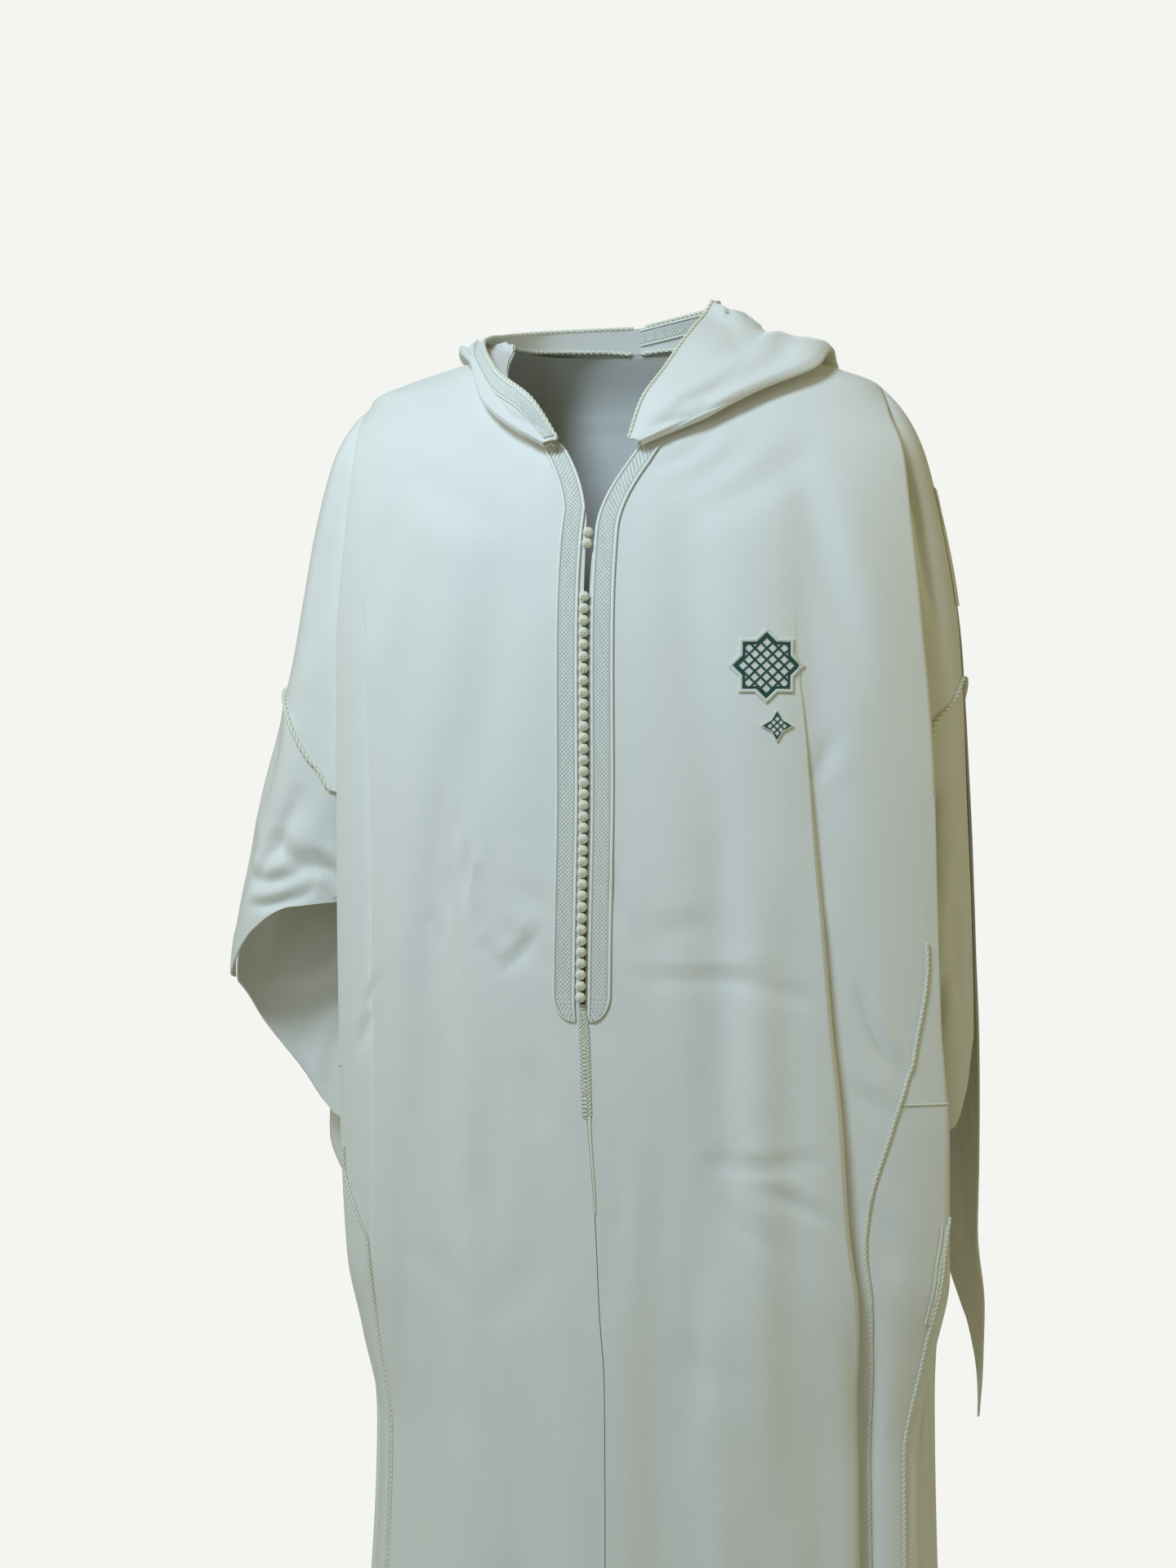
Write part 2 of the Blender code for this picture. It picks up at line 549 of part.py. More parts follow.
FRONT_PLACES = (0, 0.1, 0.24, 0.38, 0.5, 0.575, PLEAT_SHARE, 0.62, PLEAT_FOOT, 0.72, 0.82, 0.92, 0.965, 1.0)
ARM_PLACES = (1.0, 1.05, TUCK_SHARE, 1.25, 1.4, 1.6, 1.8, 1.99999)
BACK_PLACES = (3.0, 3.035, 3.12, 3.25, 3.42, 3.6, 3.8, 4.0)
GORE_PLACES = {
    "right_front": (0.76, 0.88, 1.0, 1.04, 1.15, 1.5, 1.85, 2.0),
    "left_front": (0.76, 0.88, 1.0, 1.04, 1.15, 1.5, 1.85, 2.0),
    "right_back": (2.0, 2.2, 2.5, 2.85, 2.96, 3.0, 3.15, 3.35),
    "left_back": (2.0, 2.2, 2.5, 2.85, 2.96, 3.0, 3.15, 3.35),
}
UPPER_DROPS = (-40, -30, -18, SHOULDER_TIP, 4, 12, 30, 50, 76, 103, 120, 150, 190, 230, 270, UNDERARM)
LOWER_DROPS = (UNDERARM, 345, 385, 425, 462, 476, 520, 560, 595, 620, 655, 690, 735, 790, 860,
               950, 1050, 1160, 1270, HEM_DROP)
LEAST_STEP = 0.008        # columns that a seam has passed stay this far apart, as places


def between(places, start, end):
    """Columns of places that stay between two moving seams, row by row."""
    order = np.arange(len(places))
    start = np.asarray(start, float)[:, None] + LEAST_STEP * order
    end = np.asarray(end, float)[:, None] - LEAST_STEP * order[::-1]
    return np.clip(np.array(places, float)[None, :], start, end)


def arm_rows(side, places):
    """Rows over the arm, from the tip of the shoulder to the armhole seam at each place."""
    drops = np.array([drop for drop in UPPER_DROPS if drop >= SHOULDER_TIP], float)
    share = (drops - SHOULDER_TIP) / (UNDERARM - SHOULDER_TIP)
    low = armhole_drop(side, places)
    return SHOULDER_TIP + (low - SHOULDER_TIP) * share[:, None]


def build_front(side, finish, collection):
    above = UPPER_DROPS.index(SHOULDER_TIP)
    low_drops = np.array(LOWER_DROPS, float)
    arm_places = np.array(ARM_PLACES)[None, :]
    low_places = between(FRONT_PLACES[:-1], 0 * low_drops, seam_place(GORE_FRONT[side], low_drops))
    uppers = robe_wall(side, np.array(FRONT_PLACES)[None, :], np.array(UPPER_DROPS, float)[:, None], False)
    arms = robe_wall(side, arm_places, arm_rows(side, arm_places), False)
    lowers = robe_wall(side, low_places, low_drops[:, None], True)
    for upper, arm, lower in zip(uppers, arms, lowers):
        upper[:above + 1, -1] += step_in(upper[:above + 1, -1], upper[:above + 1, -2])
        upper[-1, -1] += step_in(upper[-1, -1], upper[-2, -1])
        arm[1:, -1] += step_in(arm[1:, -1], arm[1:, -2])
        arm[-1] += step_in(arm[-1], arm[-2], across_step(arm[-1], arm[-2]))
        arm[0] = upper[above, -1]
        arm[:, 0] = upper[above:, -1]
        lower[0] = upper[-1, :-1]
        lower[1:, -1] += step_in(lower[1:, -1], lower[1:, -2])
    return cloth("front_" + side, [uppers, arms, lowers], side == "right", finish, collection)


def across_step(edge, inner):
    """Length of the step along the columns that leaves the seam's gap across a slanting edge."""
    column = inner - edge
    column = column / np.linalg.norm(column, axis=-1, keepdims=True)
    run = np.diff(edge, axis=0)
    run = run / np.linalg.norm(run, axis=-1, keepdims=True)
    before = np.abs(np.sum(column[1:] * run, -1))
    after = np.abs(np.sum(column[:-1] * run, -1))
    slant = np.maximum(np.concatenate([[0], before]), np.concatenate([after, [0]]))
    return (SEAM / np.sqrt(1 - np.minimum(slant, 0.98) ** 2))[..., None]


def step_in(edge, inner, amount=SEAM):
    """Step of the given length from an edge towards the points inside it."""
    step = inner - edge
    return amount * step / np.linalg.norm(step, axis=-1, keepdims=True)


def build_back(finish, collection):
    """The back is one piece: its right half, from the arm to the middle, and its left half."""
    upper_drops = (-44,) + UPPER_DROPS
    above = upper_drops.index(SHOULDER_TIP)
    low_drops = np.array(LOWER_DROPS, float)
    arm_places = 4 - np.array(ARM_PLACES)[None, :]
    low_places = between(BACK_PLACES[1:], seam_place(GORE_BACK, low_drops), 0 * low_drops + 4)
    grids = []
    for side in SIDES:
        uppers = robe_wall(side, np.array(BACK_PLACES)[None, :], np.array(upper_drops, float)[:, None], False)
        arms = robe_wall(side, arm_places, arm_rows(side, arm_places), False)
        lowers = robe_wall(side, low_places, low_drops[:, None], True)
        for upper, arm, lower in zip(uppers, arms, lowers):
            upper[:above + 1, 0] += step_in(upper[:above + 1, 0], upper[:above + 1, 1])
            upper[-1, 0] += step_in(upper[-1, 0], upper[-2, 0])
            arm[1:, -1] += step_in(arm[1:, -1], arm[1:, -2])
            arm[-1] += step_in(arm[-1], arm[-2], across_step(arm[-1], arm[-2]))
            arm[0] = upper[above, 0]
            arm[:, 0] = upper[above:, 0]
            lower[0] = upper[-1, 1:]
            lower[1:, 0] += step_in(lower[1:, 0], lower[1:, 1])
        order = slice(None) if side == "right" else slice(None, None, -1)
        grids.append(tuple(grid[:, order] for grid in uppers))
        grids.append(tuple(grid[:, ::-1][:, order] for grid in arms))
        grids.append(tuple(grid[:, order] for grid in lowers))
    return cloth("back", grids, True, finish, collection)


def build_gore(side, face, finish, collection):
    drops = np.array(LOWER_DROPS, float)
    side_seam = np.full(len(drops), 2.0)
    if face == "front":
        start, end = seam_place(GORE_FRONT[side], drops), side_seam
    else:
        start, end = side_seam, seam_place(GORE_BACK, drops)
    places = between(GORE_PLACES[side + "_" + face], start, end)
    places[:, 0], places[:, -1] = start, end
    grids = tuple(trimmed(grid, top=SEAM, first=SEAM, last=SEAM)
                  for grid in robe_wall(side, places, drops[:, None], True))
    return cloth("gore_%s_%s" % (side, face), [grids], side == "right", finish, collection)


SLEEVE_ROWS = (0, 0.12, 0.25, 0.38, 0.5, 0.62, 0.74, 0.86, 1.0)
INNER_COLUMNS = 9         # columns of the sleeve on the inner side of the arm


def sleeve_wall(side, down):
    """Outer and inner face of the sleeve from the front edge of its slit, round the arm, to the
    back edge. Its first and last columns meet those of the front and the back at the armhole."""
    on_panels = np.array(ARM_PLACES[:1:-1])
    places = np.concatenate([on_panels, 4 - on_panels[::-1]])
    top = armhole_drop(side, places)
    angle = arm_angle(side, places, top)
    count = len(on_panels)
    share = np.linspace(0, 1, INNER_COLUMNS + 2)[1:-1]
    inner_angle = angle[count - 1] + (angle[count] - angle[count - 1]) * share
    inner_top = INNER_TOP + (top[count] - INNER_TOP) * np.abs(2 * share - 1) ** 2
    angle = np.concatenate([angle[:count], inner_angle, angle[count:]])
    top = np.concatenate([top[:count], inner_top, top[count:]])
    first_top = read(SLIT, SLIT_COLUMNS, side + "_front", top)
    last_top = read(SLIT, SLIT_COLUMNS, side + "_back", top)
    around = (angle - first_top) / (last_top - first_top)
    drop = top + (seam_place(SLEEVE_HEM[side], angle) - top) * down
    first = read(SLIT, SLIT_COLUMNS, side + "_front", drop)
    last = read(SLIT, SLIT_COLUMNS, side + "_back", drop)
    angle = first + (last - first) * around

    def arm(at_angle, at_drop):
        x, y = arm_points(side, at_angle, at_drop)
        return np.stack([direction(side) * x, y, -at_drop], -1)

    outer = arm(angle, drop)
    round_arm = arm(angle + 1, drop) - arm(angle - 1, drop)
    inward = np.cross(round_arm, arm(angle, drop + 1.5) - arm(angle, drop - 1.5))
    inward *= -direction(side) / np.linalg.norm(inward, axis=-1, keepdims=True)
    return outer, outer + WALL * inward


def build_sleeve(side, finish, collection):
    grids = sleeve_wall(side, np.array(SLEEVE_ROWS)[:, None])
    for grid in grids:
        grid[0] += step_in(grid[0], grid[1], across_step(grid[0], grid[1]))
    return cloth("sleeve_" + side, [grids], side == "left", finish, collection)


def clear_of_robe(side, points, gap, resting):
    """Points of one half of the hood, with x outward, moved until they lie at least the gap off
    the robe, and at just the gap where they rest on it."""
    drops = np.linspace(-44, 300, 60)[:, None]
    front = robe(side, np.linspace(0, 1, 40)[None, :], drops, False)
    back = robe(side, np.linspace(3, 4, 40)[None, :], drops, False)
    faces = np.concatenate([normals_of(front).reshape(-1, 3), normals_of(back).reshape(-1, 3)])
    samples = np.concatenate([front.reshape(-1, 3), back.reshape(-1, 3)])
    mirror = np.array([direction(side), 1, 1])
    samples, faces = samples * mirror, faces * mirror
    centre = np.array([0, SHOULDER_Y, -120])
    outward = np.sign(np.sum(faces * (samples - centre), -1, keepdims=True))
    faces = faces * outward
    shape = points.shape
    points = points.reshape(-1, 3).copy()
    gap, resting = gap.ravel(), resting.ravel()
    for _ in range(8):
        apart = np.linalg.norm(points[:, None] - samples[None], axis=-1)
        nearest = np.argmin(apart, axis=1)
        height = np.sum((points - samples[nearest]) * faces[nearest], -1)
        near = apart[np.arange(len(points)), nearest] < 120
        step = np.where(resting, gap - height, np.maximum(gap - height, 0))
        points += np.where(near, step, 0)[:, None] * faces[nearest]
    return points.reshape(shape)


def hood_points(side, place, across):
    """The hood from its front corner, place 0, to its middle, 1, and from the neck seam, 0, under
    its lowest fold, about 0.4, to the rim, 1."""
    place, across = np.broadcast_arrays(place, across)
    rows = HOOD[side]
    firsts = [row[0] for row in rows]

    def column(name, axis):
        values = [row[HOOD_COLUMNS.index(name)][axis] for row in rows]
        return smooth(firsts, values, place)

    seam = np.stack([column("seam", axis) for axis in range(3)], -1)
    fold = np.stack([column("fold", axis) for axis in range(3)], -1)
    rim = np.stack([column("rim", axis) for axis in range(3)], -1)
    bulge = smooth(firsts, [row[-1] for row in rows], place)[..., None]
    outward = np.stack([fold[..., 0] * 0.6, fold[..., 1], 0 * fold[..., 2]], -1)
    outward /= np.linalg.norm(outward, axis=-1, keepdims=True)
    under = fold + 0.07 * (seam - fold)
    over = fold + 0.06 * (rim - fold)
    middle = fold + 0.55 * (rim - fold) + outward * bulge
    inner = seam + 0.45 * (under - seam)
    lines = (seam, inner, under, fold, over, middle, rim)
    points = [knots_at(HOOD_ACROSS_KNOTS, [line[..., axis] for line in lines], across) for axis in range(3)]
    size = np.linalg.norm(rim - fold, axis=-1) / HOOD_FULL
    gap = np.interp(across, HOOD_ACROSS_KNOTS, HOOD_GAPS)
    gap = HOOD_GAPS[0] + (gap - HOOD_GAPS[0]) * np.clip(size, 0.85, 1)
    points = clear_of_robe(side, np.stack(points, -1), gap, across < 0.4)
    return points * np.array([direction(side), 1, 1])


HOOD_PLACES = (0, 0.09, 0.18, 0.26, 0.34, 0.41, 0.46, 0.51, 0.56, 0.605, 0.64, 0.67, 0.70, 0.745, 0.81, 0.9, 1)
HOOD_ACROSS = (0, 0.035, 0.075, 0.12, 0.18, 0.25, 0.33, 0.42, 0.5, 0.6, 0.68, 0.86, 1.0)


def build_hood(side, finish, collection):
    places = np.array(HOOD_PLACES)
    across = np.repeat(np.array(HOOD_ACROSS)[:, None], len(places), axis=1)
    ends = [hood_points(side, places, np.full(len(places), end)) for end in (0.75, 1.0)]
    length = np.linalg.norm(ends[1] - ends[0], axis=-1)
    across[-2] = 1 - 0.25 * np.minimum((HOOD_BAND_WIDTH + 1.5) / length, 1)
    across[-3] = (across[-4] + across[-2]) / 2
    points = trimmed(hood_points(side, places[None, :], across), first=SEAM)
    inward = normals_of(points) * direction(side)
    inward[:, -1, 0] = 0
    inner = points + WALL * inward
    turn = HOOD_ACROSS.index(0.42)
    inner[turn] = points[turn] + FOLD_SHARE * ((inner[turn - 1] + inner[turn + 1]) / 2 - points[turn])
    cloth("hood_" + side, [(points, inner)], side == "left", finish, collection)
    build_hood_band(side, points[::-1, 1:], inward[::-1, 1:], collection)


def band_profile(share):
    """Height of the woven band across its width: flat between a cord at each edge."""
    edge = np.minimum(share, 1 - share)
    cord = np.clip(1 - np.abs(edge - 0.08) / 0.08, 0, 1)
    return BAND_THICK + CORD_RISE * cord


def build_band(side, finish, collection):
    drops = np.concatenate([np.linspace(BAND_TOP, BAND_END - BAND_ROUND, 18),
                            BAND_END - BAND_ROUND + BAND_ROUND * np.array([0.4, 0.75, 0.95])])
    shares = np.array([0, 0.08, 0.16, 0.5, 0.84, 0.92, 1.0])
    sign = direction(side)
    edge = read(EDGE, EDGE_COLUMNS, "half_gap", drops)
    inner = np.maximum(edge, KNOT_RADIUS + 0.7 + sign * KNOT_PLACE)
    bend = np.clip((drops - (BAND_END - BAND_ROUND)) / BAND_ROUND, 0, 1)
    outer = inner + BAND_WIDTH * np.sqrt(1 - bend ** 2)
    middle = read(EDGE, EDGE_COLUMNS, "middle", drops)
    x = sign * (inner[:, None] + (outer - inner)[:, None] * shares) + middle[:, None]
    base = on_front(x, drops[:, None])
    normals = normals_of(base) * sign
    heights = np.broadcast_to(band_profile(shares), x.shape)
    return laid_on("band_" + side, base, normals, heights, side == "right", finish, collection)


def build_hood_band(side, rows, inward, collection):
    """A band along the rim: outside on the right half, and inside on the left, where the rim
    rolls out. It lies on the rows of the hood, counted from the rim."""
    steps = np.linalg.norm(np.diff(rows, axis=0), axis=-1)
    along = np.concatenate([np.zeros((1, rows.shape[1])), np.cumsum(steps, axis=0)])
    width = np.minimum(HOOD_BAND_WIDTH, along[1] - 3)
    reach = 0.6 + width * HOOD_BAND_SHARES[:, None]
    base, facing = (np.stack([np.stack([np.interp(reach[:, c], along[:, c], source[:, c, axis])
                                        for c in range(rows.shape[1])], -1) for axis in range(3)], -1)
                    for source in (rows, inward))
    lift = 2.4 * LIFT + WALL if side == "left" else 3 * LIFT
    facing = facing if side == "left" else -facing
    base, facing = base[::-1], facing[::-1]
    heights = np.broadcast_to(np.array([1.4, 1.0, 1.0, 1.4])[:, None], base.shape[:2])
    finish = bpy.data.materials["woven_band"]
    return laid_on("hood_band_" + side, base, facing, heights, False, finish, collection, lift=lift)


def build_knots(finish, collection):
    drops = list(TOP_KNOTS) + list(np.linspace(*UPPER_KNOTS)) + list(np.linspace(*LOWER_KNOTS))
    mesh = None
    for number, drop in enumerate(drops, start=1):
        middle = float(read(EDGE, EDGE_COLUMNS, "middle", np.array(drop)))
        gap = float(read(EDGE, EDGE_COLUMNS, "half_gap", np.array(drop)))
        x = middle + KNOT_PLACE
        seat = on_front(np.array([middle - gap, middle + gap]), np.array([drop, drop]))
        reach = (KNOT_RADIUS + LIFT) ** 2 - (seat[:, 0] - x) ** 2
        y = np.min(seat[:, 1] - np.sqrt(np.maximum(reach, 0)))
        if mesh is None:
            bpy.ops.mesh.primitive_uv_sphere_add(segments=8, ring_count=4, radius=KNOT_RADIUS * MM)
            knot = bpy.context.object
            mesh = knot.data
            mesh.materials.append(finish)
            mesh.shade_smooth()
            for owner in list(knot.users_collection):
                owner.objects.unlink(knot)
            collection.objects.link(knot)
        else:
            knot = bpy.data.objects.new("knot", mesh)
            collection.objects.link(knot)
        knot.name = "knot_%02d" % number
        knot.location = (x * MM, y * MM, -drop * MM)


def build_braid(finish, collection):
    """The braid below the placket: a wider lattice, then a ridge that narrows to the seam."""
    drops = np.linspace(BRAID_TOP, BRAID_END, 14)
    half = smooth((BRAID_TOP, 484, 538, 546, BRAID_END), (1.0, 3.6, 3.6, 2.6, 1.2), drops)
    shares = np.array([-1, -0.5, 0.5, 1])
    middle = read(EDGE, EDGE_COLUMNS, "middle", drops)
    base = on_front(middle[:, None] + half[:, None] * shares, drops[:, None])
    heights = np.broadcast_to(np.array([0.5, 1.3, 1.3, 0.5]), base.shape[:2])
    return laid_on("centre_braid", base, normals_of(base), heights, False, finish, collection)


def on_chords(side, columns, rows, place, drop, skirt):
    """Point on the flat faces between the columns and rows of a piece."""
    place, drop = np.broadcast_arrays(place, drop)
    column = np.clip(np.searchsorted(columns, place, side="right") - 1, 0, len(columns) - 2)
    row = np.clip(np.searchsorted(rows, drop, side="right") - 1, 0, len(rows) - 2)
    columns, rows = np.array(columns, float), np.array(rows, float)
    right = ((place - columns[column]) / (columns[column + 1] - columns[column]))[..., None]
    down = ((drop - rows[row]) / (rows[row + 1] - rows[row]))[..., None]
    corners = [[robe(side, columns[column + i], rows[row + j], skirt) for i in (0, 1)] for j in (0, 1)]
    upper = corners[0][0] * (1 - right) + corners[0][1] * right
    lower = corners[1][0] * (1 - right) + corners[1][1] * right
    return upper * (1 - down) + lower * down


def strip_on(name, side, base, finish, collection):
    normals = normals_of(base) * direction(side)
    heights = np.broadcast_to(np.array([0.5, 1.3, 1.3, 0.5]), base.shape[:2])
    return laid_on(name, base, normals, heights, side == "right", finish, collection, lift=1.5 * LIFT)


def build_arm_trim(side, finish, collection):
    drops = np.linspace(*ARM_TRIM, 9)[:, None]
    rows = ARMS[side]
    depth = read(rows, ARM_COLUMNS, "front_y", drops)
    half = 3.4 / np.abs(depth - SHOULDER_Y) * 1.0
    places = 2 + half * np.array([-1, -0.4, 0.4, 1])
    strip_on("arm_trim_" + side, side, robe(side, places, drops, False), finish, collection)


def build_pocket_trim(side, finish, collection):
    drops = np.linspace(*POCKET, 6)[:, None]
    seam = seam_place(POCKET_PLACE[side], drops)
    places = seam - POCKET_REACH - POCKET_SHARE * np.array([1, 0.7, 0.3, 0])
    base = on_chords(side, GORE_PLACES[side + "_front"], LOWER_DROPS, places, drops, True)
    strip_on("pocket_trim_" + side, side, base, finish, collection)


def star_radius(angle, size, points=8, notch=0.765):
    """Outline of a star of two crossed squares: its points reach size, its notches notch of that."""
    part = np.abs(((angle * points / (2 * math.pi)) % 1) * 2 - 1)
    tip, hollow = size, size * notch
    span = math.pi / points
    turn = (1 - part) * span
    return tip * hollow * math.sin(span) / (tip * np.sin(turn) + hollow * np.sin(span - turn))


def drop_radius(angle, size):
    """Outline of a small upright lozenge with hollow sides."""
    return star_radius(angle, size, points=4, notch=0.52)


def build_motif(name, centre, radius, steps, finish, collection):
    """Stitched applique on the left of the chest: a flat field inside a raised cord edge."""
    angles = np.linspace(0, 2 * math.pi, steps + 1)
    reach = radius(angles)
    shares = np.array([0.02, 0.42, 0.80, 0.90, 1.0])
    x = centre[0] + (reach * np.sin(angles))[:, None] * shares
    drop = centre[1] - (reach * np.cos(angles))[:, None] * shares
    base = on_front(x, drop)
    base[-1] = base[0]
    middle = on_front(np.array(centre[0]), np.array(centre[1]))
    base[:, 0] = middle
    spread = on_front(centre[0] + np.array([[-1, 1], [-1, 1]]), centre[1] + np.array([[-1, -1], [1, 1]]))
    normal = normals_of(spread)[0, 0]
    normals = np.broadcast_to(normal, base.shape)
    heights = np.broadcast_to(np.array([1.0, 1.0, 1.0, 2.0, 1.2]), base.shape[:2])
    return laid_on(name, base, normals, heights, False, finish, collection, lift=LIFT + 0.6, closed=True)


def build():
    for old in list(bpy.data.objects):
        bpy.data.objects.remove(old)
    collection = bpy.data.collections.new("robe")
    bpy.context.scene.collection.children.link(collection)
    finishes = {
        "cloth": material("ivory_cloth", CLOTH, 0.75),
        "band": material("woven_band", BAND, 0.6),
        "cord": material("twisted_cord", CORD, 0.6),
        "green": material("green_stitching", GREEN, 0.5),
    }
    for side in SIDES:
        build_front(side, finishes["cloth"], collection)
    build_back(finishes["cloth"], collection)
    for side in SIDES:
        for face in ("front", "back"):
            build_gore(side, face, finishes["cloth"], collection)
        build_sleeve(side, finishes["cloth"], collection)
        build_hood(side, finishes["cloth"], collection)
        build_band(side, finishes["band"], collection)
        build_arm_trim(side, finishes["cord"], collection)
        build_pocket_trim(side, finishes["cord"], collection)
    build_knots(finishes["cord"], collection)
    build_braid(finishes["cord"], collection)
    build_motif("motif_star", STAR_CENTRE, lambda angle: star_radius(angle, STAR_RADIUS), 32,
                finishes["green"], collection)
    build_motif("motif_drop", DROP_CENTRE, lambda angle: drop_radius(angle, DROP_RADIUS), 16,
                finishes["green"], collection)


build()
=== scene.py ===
"""Looks of a long hooded robe of ivory cloth, with woven bands, knots and corded seams.

Sizes are in millimetres and MM turns them into metres. X points to the wearer's left, Y to the
back and Z up. A level is given by its drop, which is its distance below the point between the
shoulders where the robe is carried.
"""

import math

import bpy
import numpy as np
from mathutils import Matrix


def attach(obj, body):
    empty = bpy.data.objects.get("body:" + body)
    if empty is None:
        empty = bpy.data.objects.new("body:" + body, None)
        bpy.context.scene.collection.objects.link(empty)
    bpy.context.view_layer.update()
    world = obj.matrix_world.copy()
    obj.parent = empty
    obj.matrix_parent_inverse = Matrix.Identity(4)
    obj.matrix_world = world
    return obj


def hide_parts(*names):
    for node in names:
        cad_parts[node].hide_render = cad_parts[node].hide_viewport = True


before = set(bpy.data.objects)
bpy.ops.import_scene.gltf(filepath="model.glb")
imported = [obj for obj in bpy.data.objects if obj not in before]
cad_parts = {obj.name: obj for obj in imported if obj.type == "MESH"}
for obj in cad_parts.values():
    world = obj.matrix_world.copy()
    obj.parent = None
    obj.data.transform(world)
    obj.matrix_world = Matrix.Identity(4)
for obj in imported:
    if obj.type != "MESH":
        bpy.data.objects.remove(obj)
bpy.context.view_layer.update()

# Fronts. Two panels of ivory crepe, each cut in one with the top of its sleeve, hang from the
# shoulders in long soft folds. They are woven plain, washed soft, and meet edge to edge.
MM = 0.001
WALL = 1.5                # cloth wall, with its pressed turnings
SEAM = 0.04               # each edge stops this far short of its seam
HEM_DROP = 1380           # length of the robe below the shoulders
UNDERARM = 310            # drop of the lowest point of the armholes
SHOULDER_TIP = -4         # drop where the seam of the shoulder turns down the arm
SHOULDER_Y = 5            # the seam on the shoulders and arms lies this far behind the axis
ROUND = 2.4               # roundness of the chest and back, 2 is an ellipse
SIDES = ("right", "left")
# The front, one row a level: where its side fold stands on each side, and how far back that fold
# and the middle of the chest lie.
FRONT_COLUMNS = ("drop", "right", "left", "fold_y", "middle_y")
FRONT = (
    (-40, 96, 96, 5, -6), (-30, 130, 130, 5, -21), (-18, 168, 172, 5, -36), (-4, 200, 203, 5, -50),
    (4, 202, 206.5, -7, -58), (12, 203, 209.5, -19, -65), (20, 203, 212, -29, -71),
    (50, 203, 224, -46, -88),
    (100, 205, 231, -58, -105), (150, 208, 237, -65, -114), (190, 209, 241, -69, -119),
    (254, 208, 247, -73, -124), (310, 207, 250, -76, -127), (385, 206, 252, -78, -131),
    (475, 204, 255, -80, -134), (565, 202, 261, -81, -137), (660, 197, 261, -80, -141),
    (716, 187, 250, -74, -143), (790, 173, 237, -72, -145), (1080, 188, 242, -86, -157),
    (1380, 206, 262, -105, -172),
)
# The back in the same way.
BACK_COLUMNS = ("drop", "right", "left", "fold_y", "middle_y")
BACK = (
    (-44, 84, 84, 5, 70), (-40, 96, 96, 5, 73), (-30, 130, 130, 5, 81), (-18, 168, 172, 5, 90),
    (-4, 200, 203, 5, 98), (4, 202, 206.5, 17, 101), (12, 204, 209.5, 30, 104),
    (20, 205, 213, 40, 106), (50, 207, 224, 60, 112),
    (100, 210, 231, 75, 118), (150, 213, 236, 84, 121), (230, 217, 240, 91, 121),
    (310, 226, 241, 95, 120), (400, 245, 242, 96, 118), (500, 261, 243, 97, 120),
    (590, 266, 246, 97, 124), (640, 247, 244, 96, 128), (720, 229, 240, 95, 134),
    (790, 214, 237, 96, 138), (1080, 217, 244, 106, 152), (1380, 237, 262, 120, 168),
)
# The cloth round each arm: its outer and inner sides, its front and its back.
ARM_COLUMNS = ("drop", "outer", "inner", "front_y", "back_y")
ARMS = {
    "right": (
        (-4, 200.1, 199.9, 4.9, 5.1), (4, 207, 196, -3.5, 13), (12, 214, 192, -13.5, 24),
        (30, 225, 190, -26, 35), (50, 233, 188, -33, 44), (100, 246, 186, -38, 52), (150, 255, 185, -42, 56),
        (200, 264, 185, -44, 58), (250, 276, 185, -45, 58), (310, 292, 186, -46, 56),
        (360, 302, 190, -47, 52), (405, 312, 196, -47, 48), (450, 318, 204, -44, 46),
        (484, 309, 210, -38, 45), (510, 294, 215, -32, 44), (536, 278, 220, -25, 43),
        (575, 262, 226, -18, 42),
    ),
    "left": (
        (-4, 203.1, 202.9, 4.9, 5.1), (4, 211, 198, -3.5, 13), (12, 218, 193, -13.5, 24),
        (30, 229, 191, -26, 35), (50, 237, 189, -33, 44), (100, 249, 187, -38, 52), (150, 258, 186, -42, 56),
        (200, 264, 186, -44, 58), (250, 267.5, 186, -45, 58), (310, 270, 186, -46, 58),
        (400, 274, 190, -46, 58), (500, 276, 206, -46, 57), (560, 276, 220, -44, 56),
        (650, 276, 236, -38, 54), (700, 280, 244, -34, 52), (740, 280, 250, -32, 50),
        (786, 277, 255, -30, 48),
    ),
}
ARM_ROUND = 0.85          # 1 is an ellipse, less is fuller at the corners
# The front edges: where the middle lies, and half the gap between them. Above the drop of 50 the
# gap is the neckline's.
EDGE_COLUMNS = ("drop", "middle", "half_gap")
EDGE = (
    (-40, 0, 84), (-30, 0, 84), (-18, 0, 82), (-4, 1, 78), (12, 2, 69), (30, 3, 52), (50, 4, 27),
    (103, 0, 4.2), (118, -1, 3.0), (158, -2, 2.2), (324, 0, 2.0), (462, -1, 2.0), (476, 0, 0.4),
    (543, 3, 0.3), (612, 9, 0.3), (683, 13, 0.3), (737, 17, 0.3), (1080, 20, 0.3), (1380, 22, 0.3),
)
# The sharp fold beside the chest: its place as a share of the way to the side fold, and how far
# the cloth beside it falls back.
PLEAT_COLUMNS = ("drop", "right", "left", "right_depth", "left_depth")
PLEAT = (
    (-40, 0.88, 0.63, 0, 0), (140, 0.88, 0.63, 0, 0), (190, 0.86, 0.63, 2, 0.3),
    (264, 0.845, 0.645, 5, 3), (385, 0.83, 0.67, 9, 9), (500, 0.83, 0.695, 10, 12),
    (617, 0.85, 0.71, 11, 14), (790, 0.92, 0.81, 11, 16), (1080, 0.90, 0.82, 14, 18),
    (1380, 0.88, 0.81, 17, 22),
)
PLEAT_SHARE = 0.60        # the fold's edge on the way from the middle, 0, to the side fold, 1
PLEAT_FOOT = 0.64         # the foot of the fold
PLEAT_RISE = 0.82         # where the cloth has come forward again
PLEAT_OVERLAP = 1.5       # the foot lies this far beyond the edge
